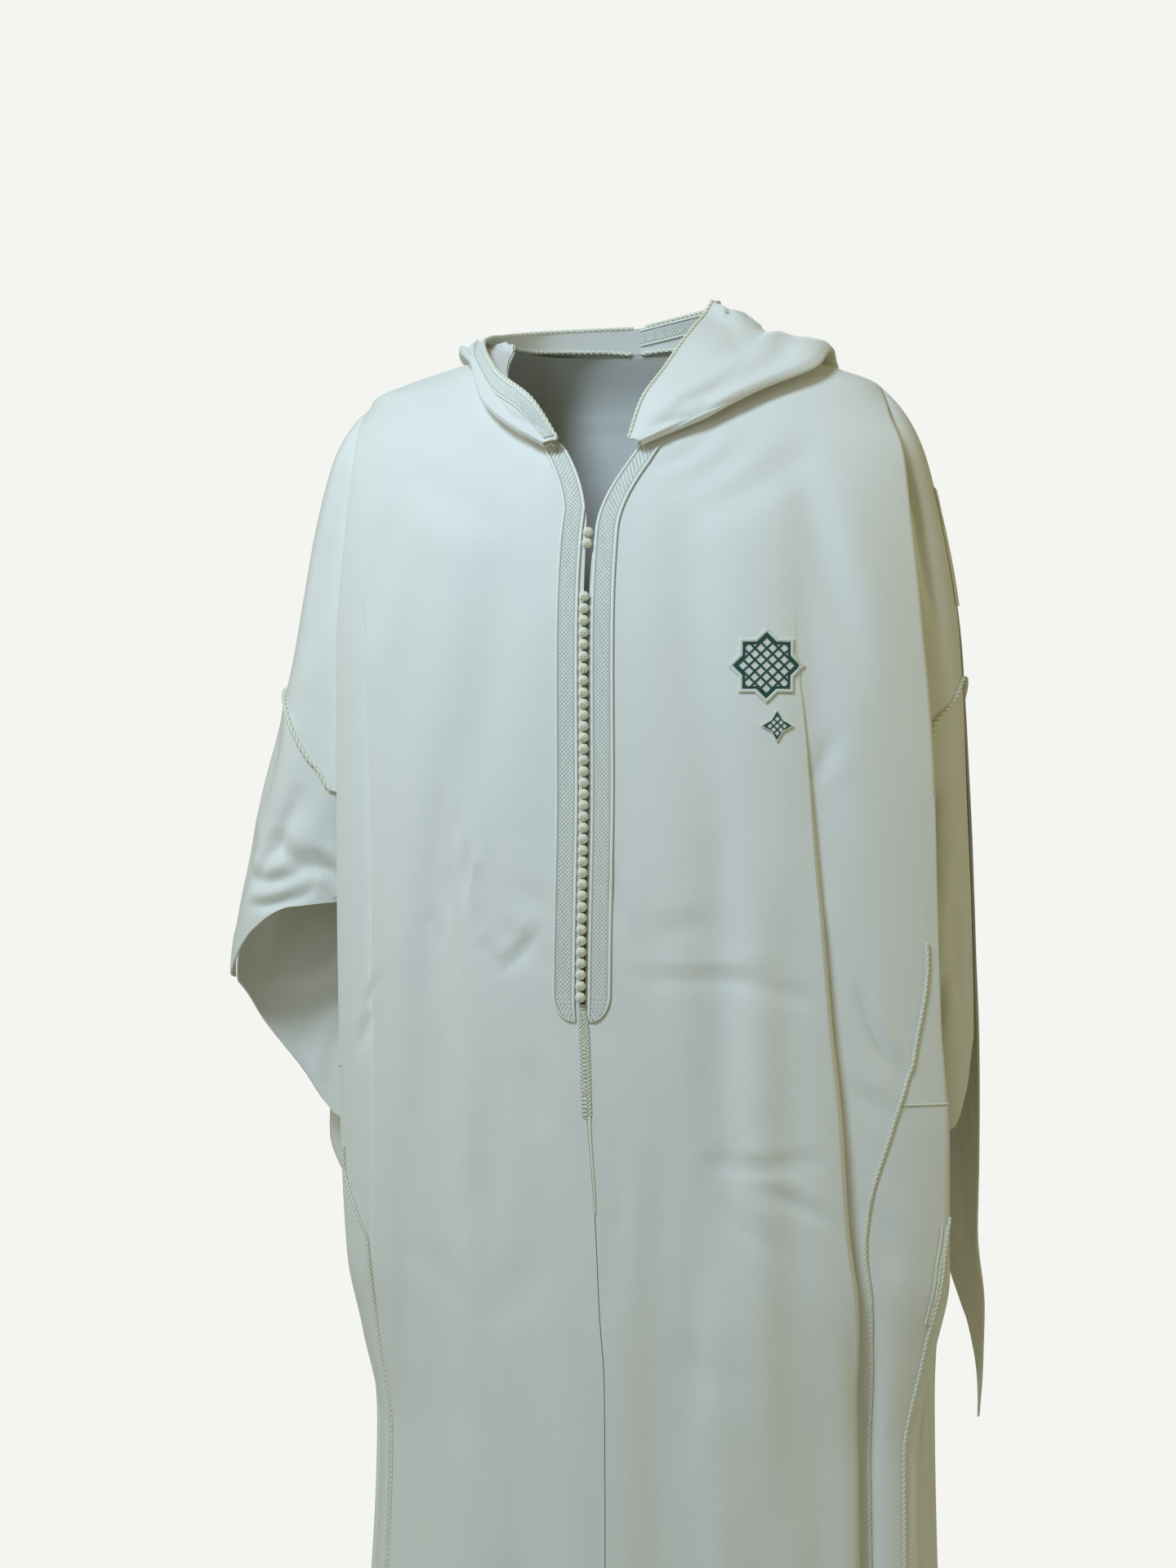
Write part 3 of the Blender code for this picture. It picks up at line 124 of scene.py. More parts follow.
RISE_PLACE = 0.48         # the rise lies this far from the fold towards the side fold
RISE_DEPTH = 0.25         # share of the fold's depth that is left at the rise
# The sides of the skirt, where they stand out least or most.
SIDE_COLUMNS = ("drop", "right", "left")
SIDE = (
    (310, 178, 178), (345, 174, 175), (385, 172, 176), (500, 174, 186), (600, 186, 204),
    (660, 188, 216), (720, 186, 228), (790, 181, 232), (1080, 196, 241), (1380, 216, 262),
)
# Seams of the gores, as places round the robe: 0 is the middle of the front, 1 its side fold,
# 2 the side, 3 the side fold of the back and 4 the middle of the back.
GORE_FRONT = {
    "right": ((310, 0.965), (590, 0.965), (622, 0.86), (646, 0.75), (690, 0.72), (1380, 0.72)),
    "left": ((310, 0.965), (425, 0.965), (497, 0.91), (533, 0.85), (563, 0.80), (611, 0.735),
             (654, 0.71), (1380, 0.71)),
}
# The armhole seam: places round the robe from the side fold, 1, to the top of the arm, 2.
ARMHOLE = {
    "right": ((1.0, 310), (1.15, 304), (1.25, 287), (1.6, 243), (1.85, 226), (2.0, 222)),
    "left": ((1.0, 310), (1.15, 304), (1.25, 257), (1.6, 240), (1.85, 226), (2.0, 219)),
}
TUCK_SHARE = 1.15         # where the cloth behind the side fold reaches the arm
TUCK_INSET = 6            # and how far inside the fold that is
# Soft folds: side, face, then x and drop at the top and at the bottom, half-width and depth.
# A negative depth stands out.
SOFT_COLUMNS = ("side", "face", "x_top", "x_low", "drop_top", "drop_low", "width", "depth")
SOFT_FOLDS = (
    ("right", "front", 112, 130, 250, 1000, 20, 6),
    ("right", "front", 70, 84, 480, 1400, 14, 4),
    ("right", "front", 36, 40, 560, 1400, 16, 3),
    ("right", "front", 150, 146, 180, 700, 16, -2),
    ("left", "front", 92, 104, 240, 620, 16, 3),
    ("left", "front", 60, 78, 500, 1400, 20, 5),
    ("left", "front", 130, 136, 330, 900, 18, -3),
    ("left", "front", 120, 150, 760, 1500, 22, 6),
    ("right", "back", 60, 66, 180, 1500, 22, 6),
    ("right", "back", 130, 138, 120, 1500, 18, 8),
    ("right", "back", 182, 176, 330, 1500, 18, 6),
    ("left", "back", 24, 30, 240, 1500, 20, 4),
    ("left", "back", 98, 108, 150, 1500, 20, 8),
    ("left", "back", 168, 172, 200, 1500, 20, 7),
)
SOFT_FADE = 120           # a soft fold grows to its depth over this drop
SLIT_COLUMNS = ("drop", "right_front", "right_back", "left_front", "left_back")
SLIT = (
    (166, 0, 360, 0, 360), (200, 1.5, 358.5, 8, 359), (300, 2, 358, 14, 358),
    (450, 2, 358, 17, 356), (560, 2, 358, 20, 354), (786, 2, 358, 20, 352),
)

# Creases of the front and back: x is along the wearer's left. A crease runs from one point to
# another with a sideways bow; a negative depth stands out.
# One row: face, x and drop at its start, x and drop at its end, bow, half-width and depth.
CREASES = (
    ("front", -150, 520, -142, 1100, 4, 13.0, 2.6), ("front", -108, 560, -96, 1250, -5, 15.0, 2.8),
    ("front", -58, 640, -50, 1400, 4, 12.0, 2.2), ("front", -22, 700, -16, 1420, -3, 10.0, 1.6),
    ("front", 46, 560, 62, 1300, 4, 14.0, 2.4), ("front", 96, 300, 112, 820, -4, 16.0, 2.4),
    ("front", 84, 620, 104, 1400, -6, 12.0, 2.8), ("front", 142, 380, 150, 900, 5, 12.0, 2.2),
    ("front", 166, 620, 176, 1350, 4, 12.0, 3.0), ("front", 202, 640, 214, 1350, -4, 11.0, 3.0),
    ("front", -134, 60, -150, 420, -5, 16.0, 2.2), ("front", -70, 90, -92, 330, 6, 20.0, 1.8),
    ("front", 70, 60, 96, 330, -6, 20.0, 1.8), ("front", 150, 40, 172, 400, 5, 16.0, 2.4),
    ("front", -116, 300, -97, 440, -3, 4.0, 1.7), ("front", -105, 310, -84, 426, 3, 3.4, 1.9),
    ("front", -92, 330, -80, 400, 2, 5.0, -1.2), ("front", -88, 415, -62, 438, 3, 3.6, 1.8),
    ("front", -68, 440, -34, 402, -4, 4.2, 1.9), ("front", -126, 392, -111, 422, 0, 3.6, 1.3),
    ("front", -70, 405, -30, 440, 5, 7.0, 1.3), ("front", -60, 372, -26, 398, 4, 6.0, 0.9),
    ("front", 20, 355, 45, 428, -4, 4.0, 1.6), ("front", 28, 380, 44, 470, -5, 7.0, -1.3),
    ("front", 30, 440, 150, 432, -5, 4.5, 1.7), ("front", 90, 446, 172, 458, 4, 6.0, 1.1),
    ("front", 46, 412, 100, 402, 3, 8.0, 0.9), ("front", 88, 576, 180, 568, -3, 4.2, 1.8),
    ("front", 92, 580, 114, 556, 1, 4.0, 1.4), ("front", 124, 592, 180, 617, 3, 4.6, 1.7),
    ("front", 98, 600, 150, 640, -4, 8.0, 0.9), ("front", -72, 12, -44, 46, 9, 4.0, 2.2),
    ("front", -84, 14, -50, 58, 10, 6.0, -1.8), ("front", -52, 40, -24, 56, 4, 3.6, 1.8),
    ("front", -100, 26, -40, 76, 12, 9.0, 1.6), ("front", 36, 66, 92, 36, -6, 6.0, 1.6),
    ("front", 44, 82, 120, 40, -9, 10.0, 1.5), ("front", 60, 104, 170, 42, -8, 14.0, 1.6),
    ("front", -60, 108, -160, 46, 8, 14.0, 1.4), ("front", -150, 60, -176, 200, -4, 12.0, 2.0),
    ("front", 150, 70, 196, 240, 6, 12.0, 1.8), ("front", 180, 262, 166, 300, 0, 6.0, 1.4),
    ("front", 196, 446, 220, 502, -3, 4.2, 1.8), ("front", 203, 482, 234, 520, 2, 4.0, 1.5),
    ("front", 190, 520, 222, 548, 3, 6.0, 1.3), ("front", -178, 466, -160, 444, 1, 3.0, 1.3),
    ("front", -186, 506, -168, 470, 2, 5.0, 1.0), ("front", -150, 560, -140, 760, 5, 8.0, 1.6),
    ("front", -114, 480, -104, 610, 3, 7.0, 1.6), ("front", -104, 600, -88, 800, -3, 9.0, 1.9),
    ("front", 84, 580, 72, 800, 4, 10.0, 1.9), ("front", 24, 540, 24, 690, 2, 7.0, 1.4),
    ("front", -50, 500, -30, 560, 4, 12.0, 1.0), ("front", -40, 640, -70, 700, 5, 14.0, 1.0),
    ("front", 60, 700, 110, 740, -6, 16.0, 1.1), ("front", -140, 640, -100, 690, 6, 12.0, 1.1),
    ("front", 204, 600, 224, 660, 3, 8.0, 1.4), ("front", 190, 700, 205, 800, 3, 8.0, 1.4),
    ("front", -60, 860, -30, 960, 6, 12.0, 1.6), ("front", 70, 900, 40, 1040, 6, 13.0, 1.8),
    ("front", -120, 980, -80, 1180, 8, 14.0, 2.2), ("front", 130, 1010, 110, 1230, 8, 14.0, 2.2),
    ("front", 30, 1100, 60, 1340, 6, 12.0, 1.8), ("front", -40, 1120, -60, 1390, -6, 12.0, 1.8),
    ("front", -90, 1060, -40, 1090, 5, 7.0, 1.2), ("front", 60, 1180, 120, 1200, 5, 7.0, 1.2),
    ("back", -120, 90, -40, 150, 10, 14.0, 1.8), ("back", 110, 84, 40, 140, -10, 14.0, 1.8),
    ("back", -60, 200, 70, 214, 8, 16.0, 1.6), ("back", -90, 420, -30, 452, 5, 6.0, 1.7),
    ("back", 30, 440, 104, 420, -6, 6.0, 1.7), ("back", -20, 474, 60, 486, 4, 8.0, 1.3),
    ("back", -150, 470, -100, 500, 5, 6.0, 1.5), ("back", 120, 500, 178, 470, 6, 6.0, 1.6),
    ("back", -60, 560, -74, 800, 5, 10.0, 1.9), ("back", 60, 600, 72, 860, 5, 11.0, 2.0),
    ("back", 0, 700, 10, 980, 6, 11.0, 1.8), ("back", -120, 800, -132, 1120, 8, 13.0, 2.2),
    ("back", 130, 860, 140, 1200, 8, 13.0, 2.2), ("back", -40, 1020, -20, 1390, 6, 12.0, 2.0),
    ("back", 40, 1060, 64, 1390, 6, 12.0, 2.0), ("back", -100, 1100, -40, 1130, 6, 7.0, 1.3),
    ("back", 60, 1240, 130, 1226, 6, 7.0, 1.3), ("back", -30, 320, 40, 340, 5, 12.0, 1.2),
)
# Creases round the arms, with the angle from the top of the arm over its front, and 0.8 mm of
# cloth for each degree.
# One row: side, angle and drop at its start, angle and drop at its end, bow, half-width and depth.
ARM_CREASES = (
    ("front", -150, 520, -142, 1100, 4, 13.0, 2.6), ("front", -108, 560, -96, 1250, -5, 15.0, 2.8),
    ("front", -58, 640, -50, 1400, 4, 12.0, 2.2), ("front", -22, 700, -16, 1420, -3, 10.0, 1.6),
    ("front", 46, 560, 62, 1300, 4, 14.0, 2.4), ("front", 96, 300, 112, 820, -4, 16.0, 2.4),
    ("front", 84, 620, 104, 1400, -6, 12.0, 2.8), ("front", 142, 380, 150, 900, 5, 12.0, 2.2),
    ("front", 166, 620, 176, 1350, 4, 12.0, 3.0), ("front", 202, 640, 214, 1350, -4, 11.0, 3.0),
    ("front", -134, 60, -150, 420, -5, 16.0, 2.2), ("front", -70, 90, -92, 330, 6, 20.0, 1.8),
    ("front", 70, 60, 96, 330, -6, 20.0, 1.8), ("front", 150, 40, 172, 400, 5, 16.0, 2.4),
    ("right", 84, 300, 42, 388, 6, 6.0, 2.4), ("right", 62, 336, 112, 372, -5, 7.0, 2.6),
    ("right", 40, 372, 96, 366, -8, 6.0, 2.6), ("right", 50, 396, 104, 380, -6, 4.6, 2.2),
    ("right", 30, 330, 20, 420, 4, 8.0, 1.8), ("right", 96, 350, 120, 388, 2, 5.0, 2.2),
    ("right", 100, 366, 124, 390, 0, 3.6, -1.8), ("right", 26, 240, 34, 330, 6, 12.0, 2.0),
    ("right", 70, 100, 60, 220, 6, 14.0, 1.8), ("right", 200, 330, 250, 420, 6, 9.0, 2.4),
    ("right", 215, 400, 300, 470, -8, 10.0, 2.6), ("right", 240, 470, 285, 545, 6, 8.0, 2.2),
    ("right", 320, 300, 340, 420, 6, 9.0, 2.0), ("right", 290, 250, 310, 380, 5, 11.0, 2.0),
    ("right", 280, 90, 300, 230, 6, 14.0, 1.8),
    ("left", 86, 36, 62, 120, -6, 6.0, 2.2), ("left", 68, 56, 52, 190, 5, 8.0, 2.2),
    ("left", 88, 230, 60, 420, 8, 12.0, 2.2), ("left", 60, 300, 96, 380, 6, 9.0, 1.8),
    ("left", 50, 420, 90, 520, 6, 8.0, 2.0), ("left", 40, 350, 36, 500, 5, 9.0, 1.8),
    ("left", 110, 330, 130, 520, 6, 9.0, 1.8), ("left", 255, 330, 285, 520, 8, 10.0, 2.2),
    ("left", 300, 420, 330, 640, 6, 10.0, 2.2), ("left", 270, 520, 320, 620, 6, 8.0, 2.0),
    ("left", 290, 250, 306, 380, 5, 11.0, 2.0), ("left", 282, 90, 300, 230, 6, 14.0, 1.8),
    ("left", 310, 640, 340, 750, 5, 7.0, 1.8),
)
ARM_DEGREE = 0.8          # millimetres of cloth for each degree round the arm

def smooth(knots, values, at):
    """Cubic through the values at the knots that never overshoots. Values may hold one column for
    each column of `at`."""
    knots, values = np.asarray(knots, float), np.asarray(values, float)
    gaps = np.diff(knots).reshape((-1,) + (1,) * (values.ndim - 1))
    slope = np.diff(values, axis=0) / gaps
    tangent = np.zeros_like(values)
    same = slope[:-1] * slope[1:] > 0
    total = np.where(same, slope[:-1] + slope[1:], 1)
    tangent[1:-1] = np.where(same, 2 * slope[:-1] * slope[1:] / total, 0)
    tangent[0], tangent[-1] = slope[0], slope[-1]
    at = np.clip(at, knots[0], knots[-1])
    start = np.clip(np.searchsorted(knots, at, side="right") - 1, 0, len(knots) - 2)
    width = knots[start + 1] - knots[start]
    t = (at - knots[start]) / width

    def pick(source, index):
        return source[index] if source.ndim == 1 else np.take_along_axis(source, index, 0)

    p0, p1 = pick(values, start), pick(values, start + 1)
    m0, m1 = pick(tangent, start) * width, pick(tangent, start + 1) * width
    return ((2 * t ** 3 - 3 * t ** 2 + 1) * p0 + (t ** 3 - 2 * t ** 2 + t) * m0
            + (3 * t ** 2 - 2 * t ** 3) * p1 + (t ** 3 - t ** 2) * m1)


def read(table, columns, name, at):
    """One named column of a table, read smoothly at any level."""
    first = [row[0] for row in table]
    return smooth(first, [row[columns.index(name)] for row in table], at)


def knots_at(knots, values, at):
    """Curve through points that are themselves rows: each value is a number or an array."""
    shape = at.shape
    stack = np.stack([np.broadcast_to(value, shape).ravel() for value in values])
    return smooth(knots, stack, at.ravel()[None, :]).reshape(shape)


def direction(side):
    return -1 if side == "right" else 1


def soft_fold_depth(side, face, x, drop):
    """Sum of bell-shaped troughs that run down the cloth and fade in and out."""
    depth = np.zeros(np.broadcast(x, drop).shape)
    for row in SOFT_FOLDS:
        fold = dict(zip(SOFT_COLUMNS, row))
        if (fold["side"], fold["face"]) != (side, face):
            continue
        along = (drop - fold["drop_top"]) / (fold["drop_low"] - fold["drop_top"])
        centre = fold["x_top"] + (fold["x_low"] - fold["x_top"]) * along
        fade = np.clip((drop - fold["drop_top"]) / SOFT_FADE, 0, 1)
        fade = fade * np.clip((fold["drop_low"] - drop) / SOFT_FADE, 0, 1)
        depth += fold["depth"] * fade * np.exp(-((x - centre) / fold["width"]) ** 2)
    return depth


def bulged(x, middle_y, fold_x, fold_y):
    """Rounded curve from the middle of the chest or back, through the side fold, to the seam line."""
    reach = np.clip((fold_y - SHOULDER_Y) / (middle_y - SHOULDER_Y), 0, 0.95)
    half_width = fold_x / (1 - reach ** ROUND) ** (1 / ROUND)
    share = np.clip(x / half_width, 0, 1)
    return SHOULDER_Y + (middle_y - SHOULDER_Y) * (1 - share ** ROUND) ** (1 / ROUND)


def front_points(side, place, drop):
    """The front from its edge, place 0, to its side fold, place 1, with the sharp fold between."""
    sign = direction(side)
    edge = read(EDGE, EDGE_COLUMNS, "half_gap", drop) + sign * read(EDGE, EDGE_COLUMNS, "middle", drop)
    fold_x = read(FRONT, FRONT_COLUMNS, side, drop)
    pleat_x = edge + (fold_x - edge) * read(PLEAT, PLEAT_COLUMNS, side, drop)
    depth = read(PLEAT, PLEAT_COLUMNS, side + "_depth", drop)
    foot_x = pleat_x + np.minimum(PLEAT_OVERLAP, 0.1 * (fold_x - pleat_x))
    rise_x = pleat_x + RISE_PLACE * (fold_x - pleat_x)
    knots = (0, PLEAT_SHARE, PLEAT_FOOT, PLEAT_RISE, 1)
    x = knots_at(knots, (edge, pleat_x, foot_x, rise_x, fold_x), place)
    back = knots_at(knots, (0, 0, depth, RISE_DEPTH * depth, 0), place)
    y = bulged(x, read(FRONT, FRONT_COLUMNS, "middle_y", drop), fold_x,
               read(FRONT, FRONT_COLUMNS, "fold_y", drop))
    away = np.clip((fold_x - x) / 12, 0, 1)
    return x, y + back + away * soft_fold_depth(side, "front", x, drop)


def back_points(side, place, drop):
    """The back from its side fold, place 3, to its middle, place 4."""
    fold_x = read(BACK, BACK_COLUMNS, side, drop)
    x = fold_x * (4 - place)
    y = bulged(x, read(BACK, BACK_COLUMNS, "middle_y", drop), fold_x,
               read(BACK, BACK_COLUMNS, "fold_y", drop))
    away = np.clip((fold_x - x) / 12, 0, 1) * np.clip(x / 12, 0, 1)
    return x, y - away * soft_fold_depth(side, "back", x, drop)


def arm_points(side, angle, drop):
    """The cloth round the arm, at an angle in degrees from its top over its front."""
    rows = ARMS[side]
    outer = read(rows, ARM_COLUMNS, "outer", drop)
    inner = read(rows, ARM_COLUMNS, "inner", drop)
    turn = np.radians(angle)
    across, along = np.cos(turn), np.sin(turn)
    x = (outer + inner) / 2 + (outer - inner) / 2 * np.sign(across) * np.abs(across) ** ARM_ROUND
    front = read(rows, ARM_COLUMNS, "front_y", drop) - SHOULDER_Y
    back = read(rows, ARM_COLUMNS, "back_y", drop) - SHOULDER_Y
    y = SHOULDER_Y + np.where(along > 0, front, back) * np.abs(along) ** ARM_ROUND
    return x, y


def tuck_angle(side, fold_x, drop):
    """Angle round the arm of the point that lies just inside the side fold."""
    rows = ARMS[side]
    outer = read(rows, ARM_COLUMNS, "outer", drop)
    inner = read(rows, ARM_COLUMNS, "inner", drop)
    inset = np.minimum(np.minimum(TUCK_INSET, 0.5 * (outer - fold_x)), 0.1 * (drop - SHOULDER_TIP) - 1.5)
    across = np.clip((2 * (fold_x - inset) - outer - inner) / (outer - inner), -0.3, 0.96)
    return np.degrees(np.arccos(np.sign(across) * np.abs(across) ** (1 / ARM_ROUND)))


def arm_angle(side, place, drop):
    """Angle round the arm of a place between the tucks, which leaves the slit open."""
    front = place <= 2
    fold_x = np.where(front, read(FRONT, FRONT_COLUMNS, side, drop), read(BACK, BACK_COLUMNS, side, drop))
    tuck = tuck_angle(side, fold_x, drop)
    first = read(SLIT, SLIT_COLUMNS, side + "_front", drop)
    last = read(SLIT, SLIT_COLUMNS, side + "_back", drop)
    share = (2 - np.where(front, place, 4 - place)) / (2 - TUCK_SHARE)
    return np.where(front, first + (tuck - first) * share, last + (360 - tuck - last) * share)


def shoulder_points(side, place, drop):
    """The cloth over the arm, from the side fold of the front, 1, over the top, 2, to the back, 3."""
    front = place <= 2
    mirrored = np.where(front, place, 4 - place)
    columns = np.where(front, read(FRONT, FRONT_COLUMNS, side, drop), read(BACK, BACK_COLUMNS, side, drop))
    front_y = bulged(columns, read(FRONT, FRONT_COLUMNS, "middle_y", drop), columns,
                     read(FRONT, FRONT_COLUMNS, "fold_y", drop))
    back_y = bulged(columns, read(BACK, BACK_COLUMNS, "middle_y", drop), columns,
                    read(BACK, BACK_COLUMNS, "fold_y", drop))
    fold_y = np.where(front, front_y, back_y)
    tuck = tuck_angle(side, columns, drop)
    arm_x, arm_y = arm_points(side, arm_angle(side, place, drop), drop)
    tuck_x, tuck_y = arm_points(side, np.where(front, tuck, 360 - tuck), drop)
    knots = (1, 1.05, TUCK_SHARE)
    step_x = knots_at(knots, (columns, columns - 0.4, tuck_x), np.minimum(mirrored, TUCK_SHARE))
    step_y = knots_at(knots, (fold_y, fold_y + 0.4 * (tuck_y - fold_y), tuck_y),
                      np.minimum(mirrored, TUCK_SHARE))
    on_arm = mirrored >= TUCK_SHARE
    return np.where(on_arm, arm_x, step_x), np.where(on_arm, arm_y, step_y)


def side_points(side, place, drop):
    """The side of the skirt, from the side fold of the front, 1, to that of the back, 3."""
    front = place <= 2
    mirrored = np.where(front, place, 4 - place)
    fold_x = np.where(front, read(FRONT, FRONT_COLUMNS, side, drop), read(BACK, BACK_COLUMNS, side, drop))
    fold_y = np.where(front, read(FRONT, FRONT_COLUMNS, "fold_y", drop),
                      read(BACK, BACK_COLUMNS, "fold_y", drop))
    inward = np.where(front, 1, -1)
    side_x = read(SIDE, SIDE_COLUMNS, side, drop)
    out = np.maximum(fold_x - side_x, 0)
    knots = (1, 1.04, 1.15, 1.4, 1.65, 1.85, 2)
    tuck = np.minimum(7, 0.3 * out)
    x = knots_at(knots, (fold_x, fold_x - 0.3, fold_x - tuck, side_x + 0.5 * out,
                         side_x + np.minimum(5, 0.5 * out), side_x - 1, side_x), mirrored)
    mouth = np.where(front, -42, 62)
    y = knots_at(knots, (fold_y, fold_y + 7 * inward, fold_y + 13 * inward, fold_y + 18 * inward,
                         mouth, np.where(front, -18, 36), 8), mirrored)
    return x, y


def robe(side, place, drop, skirt):
    """Point of the cloth's outer face at a place round the robe. Between the side folds the cloth
    belongs to the arm above the armhole, and to the skirt below it."""
    place, drop = np.broadcast_arrays(np.asarray(place, float), np.asarray(drop, float))
    middle = side_points if skirt else shoulder_points
    front_x, front_y = front_points(side, np.clip(place, 0, 1), drop)
    back_x, back_y = back_points(side, np.clip(place, 3, 4), drop)
    middle_x, middle_y = middle(side, np.clip(place, 1, 3), drop)
    x = np.where(place <= 1, front_x, np.where(place >= 3, back_x, middle_x))
    y = np.where(place <= 1, front_y, np.where(place >= 3, back_y, middle_y))
    return np.stack([direction(side) * x, y, -drop], -1)


def armhole_drop(side, place):
    mirrored = np.where(place <= 2, place, 4 - place)
    rows = ARMHOLE[side]
    return smooth([row[0] for row in rows], [row[1] for row in rows], mirrored)


def seam_place(rows, drop):
    return smooth([row[0] for row in rows], [row[1] for row in rows], drop)


CREASE_GAIN = 1.8


def crease_depth(table, owner, across, drop):
    """Sum of the creases of one owner. Each is a bell across its line, with a low ridge beside it,
    times a hump along the line that ends at nothing at both its ends."""
    depth = np.zeros(np.broadcast(across, drop).shape)
    for row in table:
        name, start, top, end, foot, bow, width, deep = row
        if name != owner:
            continue
        run, fall = end - start, foot - top
        length = math.hypot(run, fall)
        along = ((across - start) * run + (drop - top) * fall) / length ** 2
        beside = ((across - start) * fall - (drop - top) * run) / length - 4 * bow * along * (1 - along)
        hump = np.clip(4 * along * (1 - along), 0, 1)
        bell = np.exp(-(beside / width) ** 2) - 0.4 * np.exp(-((beside - 2.1 * width) / (1.4 * width)) ** 2)
        depth += CREASE_GAIN * deep * hump * bell
    return depth


def relief(side, place, drop, skirt):
    """How far the creases draw the cloth in, at a place round the robe. On the front and back they
    fade out at the side folds, and round the arm they fade in beyond them."""
    x = robe(side, place, drop, skirt)[..., 0]
    owner_depth = np.where(place < 2, crease_depth(CREASES, "front", x, drop),
                           crease_depth(CREASES, "back", x, drop))
    mirrored = np.where(place <= 2, place, 4 - place)
    on_panel = np.clip((1 - mirrored) / 0.05, 0, 1) if not skirt else np.clip((1.25 - mirrored) / 0.25, 0, 1)
    on_arm = np.clip((mirrored - 1.15) / 0.15, 0, 1) * (not skirt)
    angle = arm_angle(side, np.clip(place, 1.1, 2.9), np.maximum(drop, 12))
    arm = arm_crease_depth(side, angle, drop)
    return owner_depth * on_panel + arm * on_arm


def arm_crease_depth(side, angle, drop):
    table = [(row[0], row[1] * ARM_DEGREE, row[2], row[3] * ARM_DEGREE) + row[4:] for row in ARM_CREASES]
    return crease_depth(table, side, angle * ARM_DEGREE, drop)


def cloth_at(side, place, drop, skirt):
    """Point of the creased cloth's outer face, and the direction in which its wall goes in."""
    place, drop = np.broadcast_arrays(np.asarray(place, float), np.asarray(drop, float))
    flat = robe(side, place, drop, skirt)
    down = robe(side, place, drop + 1.5, skirt) - robe(side, place, drop - 1.5, skirt)
    along = robe(side, place + 0.012, drop, skirt) - robe(side, place - 0.012, drop, skirt)
    along = np.where((place > 3.999)[..., None], [-direction(side), 0, 0], along)
    inward = -direction(side) * np.cross(down, along)
    inward /= np.linalg.norm(inward, axis=-1, keepdims=True)
    return flat + relief(side, place, drop, skirt)[..., None] * inward, inward


def wall_at(side, place, drop, skirt):
    outer, inward = cloth_at(side, place, drop, skirt)
    return outer, outer + WALL * inward


def steps(start, *stretches):
    """Numbers from the start through each stretch, given as its end and how many steps it has."""
    found = [np.array([float(start)])]
    for end, count in stretches:
        found.append(np.linspace(found[-1][-1], end, count + 1)[1:])
    return np.concatenate(found)


def row_of_triangles(rows, columns, start):
    """Corners of the triangles of a grid, as one array."""
    corner = start + np.arange(rows - 1)[:, None] * columns + np.arange(columns - 1)[None, :]
    corner = corner.ravel()
    first = np.stack([corner, corner + columns, corner + columns + 1], -1)
    second = np.stack([corner, corner + columns + 1, corner + 1], -1)
    return np.stack([first, second], 1).reshape(-1, 3)


def cloth_piece(name, grids, finish, **shades):
    """A closed wall from pairs of grids, the outer face and the inner face, that share edges. Equal
    points become one, and each edge that only one triangle uses gets a strip to the other face.
    The triangles turn the way that the outer face lies from the inner one."""
    outer = np.concatenate([pair[0].reshape(-1, 3) for pair in grids])
    inner = np.concatenate([pair[1].reshape(-1, 3) for pair in grids])
    starts = np.cumsum([0] + [pair[0].shape[0] * pair[0].shape[1] for pair in grids])
    faces = np.concatenate([row_of_triangles(pair[0].shape[0], pair[0].shape[1], start)
                            for pair, start in zip(grids, starts)])
    found, first, where = np.unique(np.round(outer, 2), axis=0, return_index=True, return_inverse=True)
    faces = where.ravel()[faces]
    whole = (faces[:, 0] != faces[:, 1]) & (faces[:, 1] != faces[:, 2]) & (faces[:, 2] != faces[:, 0])
    faces = faces[whole]
    outer, inner = outer[first], inner[first]
    a, b, c = (outer[faces[:, corner]] for corner in range(3))
    turned = np.sum(np.cross(b - a, c - a) * (a - inner[faces[:, 0]])) < 0
    if turned:
        faces = faces[:, ::-1]
    count = len(found)
    edges = np.concatenate([faces[:, [0, 1]], faces[:, [1, 2]], faces[:, [2, 0]]])
    forward = edges[:, 0] * count + edges[:, 1]
    backward = edges[:, 1] * count + edges[:, 0]
    a, b = edges[~np.isin(forward, backward)].T
    rim = np.concatenate([np.stack([b, a, a + count], -1), np.stack([b, a + count, b + count], -1)])
    points = np.concatenate([outer, inner]) * MM
    for key, values in shades.items():
        shades[key] = np.concatenate([values.ravel()[first], 0 * values.ravel()[first]])
    return mesh_piece(name, points, np.concatenate([faces, faces[:, ::-1] + count, rim]), finish, **shades)


def mesh_piece(name, points, faces, finish, **shades):
    """A piece from an array of points in metres and an array of triangles or quads. Each shade is
    a named value from 0 to 1 at every point, which its finish reads."""
    mesh = bpy.data.meshes.new(name)
    mesh.vertices.add(len(points))
    mesh.vertices.foreach_set("co", points.astype(np.float32).ravel())
    mesh.loops.add(faces.size)
    mesh.loops.foreach_set("vertex_index", faces.astype(np.int32).ravel())
    mesh.polygons.add(len(faces))
    corners = faces.shape[1]
    mesh.polygons.foreach_set("loop_start", np.arange(0, faces.size, corners, dtype=np.int32))
    mesh.update(calc_edges=True)
    for key, values in shades.items():
        mesh.attributes.new(key, "FLOAT", "POINT").data.foreach_set("value", values.astype(np.float32))
    mesh.validate()
    mesh.shade_smooth()
    mesh.set_sharp_from_angle(angle=math.radians(60))
    mesh.materials.append(finish)
    piece = bpy.data.objects.new(name, mesh)
    bpy.context.scene.collection.objects.link(piece)
    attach(piece, "root")
    return piece


